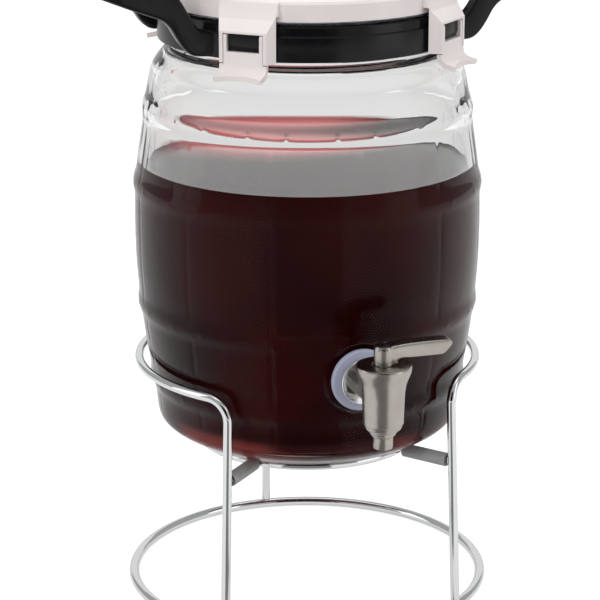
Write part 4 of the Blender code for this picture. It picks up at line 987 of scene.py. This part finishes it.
def card_corners(side, reach, half_width, heights):
    """An upright card that faces the jar, in the direction of an angle from its front towards the left."""
    low, high = heights
    foot = around_jar(reach, -side, np.array([low, low, high, high]))
    across = half_width * np.array([math.cos(side), -math.sin(side), 0.0])
    return (foot + np.array([-1, 1, 1, -1])[:, None] * across).tolist()


def sector_corners(side, half_angle, reaches, height=0.0006):
    """A sector of the floor in front of the jar, on both sides of the direction of the camera."""
    near, far = reaches
    angles = half_angle * np.array([1, 1, -1, -1]) - side
    return around_jar(np.array([near, far, far, near]), angles, height).tolist()


def reflected_card(name, corners, level):
    """A flat card that only metal and glass reflect."""
    card = stage_surface(name, corners, glowing(name, [("Is Glossy Ray", level)]))
    card.visible_camera = card.visible_diffuse = card.visible_transmission = card.visible_shadow = False


FLOOR_HALF, FLOOR_GREY, FLOOR_SEEN, FLOOR_MIRRORED = 6.0, 0.42, 0.8, 0.4
AIM = (0, STAND_Y, 0.2)


class DISPENSER_OT_stage(bpy.types.Operator):
    """Sets the pale floor, the soft light and the camera"""

    bl_idname = "dispenser.stage"
    bl_label = "Set the stage"

    def execute(self, context):
        settings = context.scene.dispenser_stage
        scene = context.scene
        scene.view_settings.view_transform = "Standard"
        floor = [(x * FLOOR_HALF, y * FLOOR_HALF, 0) for x, y in ((-1, -1), (1, -1), (1, 1), (-1, 1))]
        seen = [("Is Camera Ray", FLOOR_SEEN), ("Is Transmission Ray", settings.through_level),
                ("Is Glossy Ray", FLOOR_MIRRORED)]
        stage_surface("floor", floor, glowing("floor_paper", seen, FLOOR_GREY))
        side, bright = settings.camera_side, settings.card_level
        for name, corners, level in (
            ("front_card", card_corners(side, 1.75, 0.7, (0.1, 1.35)), 0.0),
            ("left_card", card_corners(side + math.radians(82), 1.3, 0.28, (0.02, 1.5)), bright),
            ("right_card", card_corners(side - math.radians(62), 1.3, 0.28, (0.02, 1.5)), bright),
            ("floor_card", sector_corners(side, math.radians(22), (0.135, 1.7)), 0.2),
            ("back_card", card_corners(side + math.pi, 2.2, 1.5, (0.15, 1.6)), 0.75),
            ("top_card", [(-0.6, -0.5, 1.5), (0.6, -0.5, 1.5), (0.6, 0.6, 1.5), (-0.6, 0.6, 1.5)], bright),
        ):
            reflected_card(name, corners, level)

        world = bpy.data.worlds.new("room")
        world.use_nodes = True
        scene.world = world
        room = world.node_tree.nodes["Background"]
        room.inputs["Color"].default_value = (1, 1, 1, 1)
        seen = [("Is Glossy Ray", settings.mirror_level)]
        seen += [("Is Transmission Ray", 1.0), ("Is Camera Ray", 1.0)]
        strength = by_ray(world.node_tree, seen, settings.room_level)
        world.node_tree.links.new(strength, room.inputs["Strength"])

        light_plane("key_lamp", 1.0, (-1.5, -0.9, 1.1), AIM, settings.key_power)
        light_plane("fill_lamp", 0.8, (1.4, -0.9, 0.8), AIM, settings.fill_power)
        light_plane("top_lamp", 0.9, (0.1, 0.2, 1.7), AIM, settings.top_power)

        reach = settings.camera_reach
        camera = new_object("camera", bpy.data.cameras.new("camera"))
        camera.location = (-reach * math.sin(side), STAND_Y - reach * math.cos(side), settings.camera_height)
        camera.rotation_euler = (math.pi / 2 - settings.camera_tilt, 0, -side + settings.camera_pan)
        camera.data.lens = settings.focal_length
        camera.data.sensor_width = 36
        scene.camera = camera
        return {"FINISHED"}


class DISPENSER_OT_jar(bpy.types.Operator):
    """Builds the pressed glass jar and the drink in it"""

    bl_idname = "dispenser.jar"
    bl_label = "Build the jar"

    def execute(self, context):
        settings = context.scene.dispenser_jar
        piece("jar_glass_body", make_jar_mesh(settings), jar_glass(), "jar", ["glass_jar"])
        colour, level = tuple(settings.drink_colour), settings.drink_level
        drink = piece("drink", make_drink_mesh(settings), red_drink(colour), "jar")
        drink.data.materials.append(drink_surface(colour, level))
        for face in drink.data.polygons:
            if face.center.z > level - DRINK_TOP and face.normal.z > 0.5:
                face.material_index = 1
        piece("drink_film_painted_glow", make_film_mesh(settings), drink_film_painted_glow(level), "jar")
        return {"FINISHED"}


class DISPENSER_OT_stand(bpy.types.Operator):
    """Builds the chromed wire stand with its sleeves"""

    bl_idname = "dispenser.stand"
    bl_label = "Build the stand"

    def execute(self, context):
        stand = context.scene.dispenser_stand
        chrome = chrome_plating()
        wire = stand.wire / 2
        base = tube(ring_path(stand.base_radius, FOOT_Z, stand.turn), stand.base_wire / 2, closed=True)
        piece("base_wire", base, chrome, "stand", ["base_ring"])
        piece("leg_wire", tube(hoop_path(stand), wire), chrome, "stand", ["leg_hoop"])
        for side in ("left", "right", "back"):
            soften_node("support_rod_" + side, chrome, 0.0)
            soften_node("rod_sleeve_" + side, grey_sleeving(), 0.0003)
        low, high = wire_foot(stand) + GAP, stand.hoop_height - wire - GAP
        ends = around_jar(np.array([stand.base_radius, stand.hoop_radius]), math.pi, np.array([low, high]))
        back = tube(turned(fine_path(ends, 0.01), stand.turn), wire)
        piece("back_wire", back, chrome, "stand", ["back_leg"])
        low, high = (np.array(corner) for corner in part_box("support_ring"))
        ring_z, ring_r = (low[2] + high[2]) / 2, (high[0] - low[0]) / 2 - wire
        ring = tube(ring_path(ring_r, ring_z, stand.turn, 160), wire, closed=True)
        piece("jar_ring", ring, chrome, "stand", ["support_ring"])
        return {"FINISHED"}


class DISPENSER_OT_tap(bpy.types.Operator):
    """Builds the lever tap with its washers"""

    bl_idname = "dispenser.tap"
    bl_label = "Build the tap"

    def execute(self, context):
        steel = brushed_steel()
        silicone = clear_silicone()
        piece("tap_vase", tap_body_mesh(), steel, "jar", ["tap_body"])
        piece("lever_arm", lever_mesh(), steel, "tap_lever", ["tap_lever"])
        washer, flange = PAD_FACE + GAP, PAD_FACE + WASHER_DEPTH + 2 * GAP
        for name, depth, outer, thickness, edge, material, node in (
            ("washer_front", washer, WASHER_R, WASHER_DEPTH, 0.0013, silicone, "outer_washer"),
            ("flange_front", flange, FLANGE_R, FLANGE_DEPTH, 0.0008, chrome_plating(), "tap_flange"),
        ):
            section = ring_profile(BORE_R, outer, depth, depth + thickness, edge)
            mesh = spin(section, 120, (0, STAND_Y, TAP_Z), ring=True, forward=True)
            piece(name, mesh, material, "jar", [node])
        for name in ("tap_shank", "tap_nut", "valve_spindle"):
            soften_node(name, steel, 0.0002)
        for name in ("inner_washer", "spindle_seal"):
            soften_node(name, silicone, 0.0)
        return {"FINISHED"}


class DISPENSER_OT_top(bpy.types.Operator):
    """Finishes the collar, the lid, its gasket and the latches"""

    bl_idname = "dispenser.top"
    bl_label = "Build the top"

    def execute(self, context):
        black, cream = black_moulding(), lid_moulding()
        piece("collar_moulding", collar_mesh(), black, "jar", ["handle_collar"])
        soften_node("lid_cover", cream, 0.0004)
        soften_node("lid_gasket", clear_silicone(), 0.0003)
        for place in ("front_left", "front_right", "back_left", "back_right"):
            soften_node("latch_" + place, cream, 0.0004)
        return {"FINISHED"}


class DISPENSER_PT_panel(bpy.types.Panel):
    """Lists the builders of the dispenser"""

    bl_idname = "DISPENSER_PT_panel"
    bl_label = "Dispenser"
    bl_space_type = "VIEW_3D"
    bl_region_type = "UI"
    bl_category = "Dispenser"

    def draw(self, context):
        for operator in OPERATORS:
            self.layout.operator(operator.bl_idname)


OPERATORS = (DISPENSER_OT_stage, DISPENSER_OT_jar, DISPENSER_OT_stand, DISPENSER_OT_tap, DISPENSER_OT_top)
CLASSES = (StageSettings, JarSettings, StandSettings, *OPERATORS, DISPENSER_PT_panel)


def register():
    """Makes the settings, the operators and the panel known."""
    for cls in CLASSES:
        bpy.utils.register_class(cls)
    bpy.types.Scene.dispenser_stage = PointerProperty(type=StageSettings)
    bpy.types.Scene.dispenser_jar = PointerProperty(type=JarSettings)
    bpy.types.Scene.dispenser_stand = PointerProperty(type=StandSettings)


def unregister():
    """Takes them away again."""
    for name in ("dispenser_stage", "dispenser_jar", "dispenser_stand"):
        delattr(bpy.types.Scene, name)
    for cls in reversed(CLASSES):
        bpy.utils.unregister_class(cls)


def main():
    """Builds the stage and every group of pieces."""
    register()
    bpy.ops.dispenser.stage()
    bpy.ops.dispenser.jar()
    bpy.ops.dispenser.stand()
    bpy.ops.dispenser.tap()
    bpy.ops.dispenser.top()


if __name__ == "__main__":
    main()
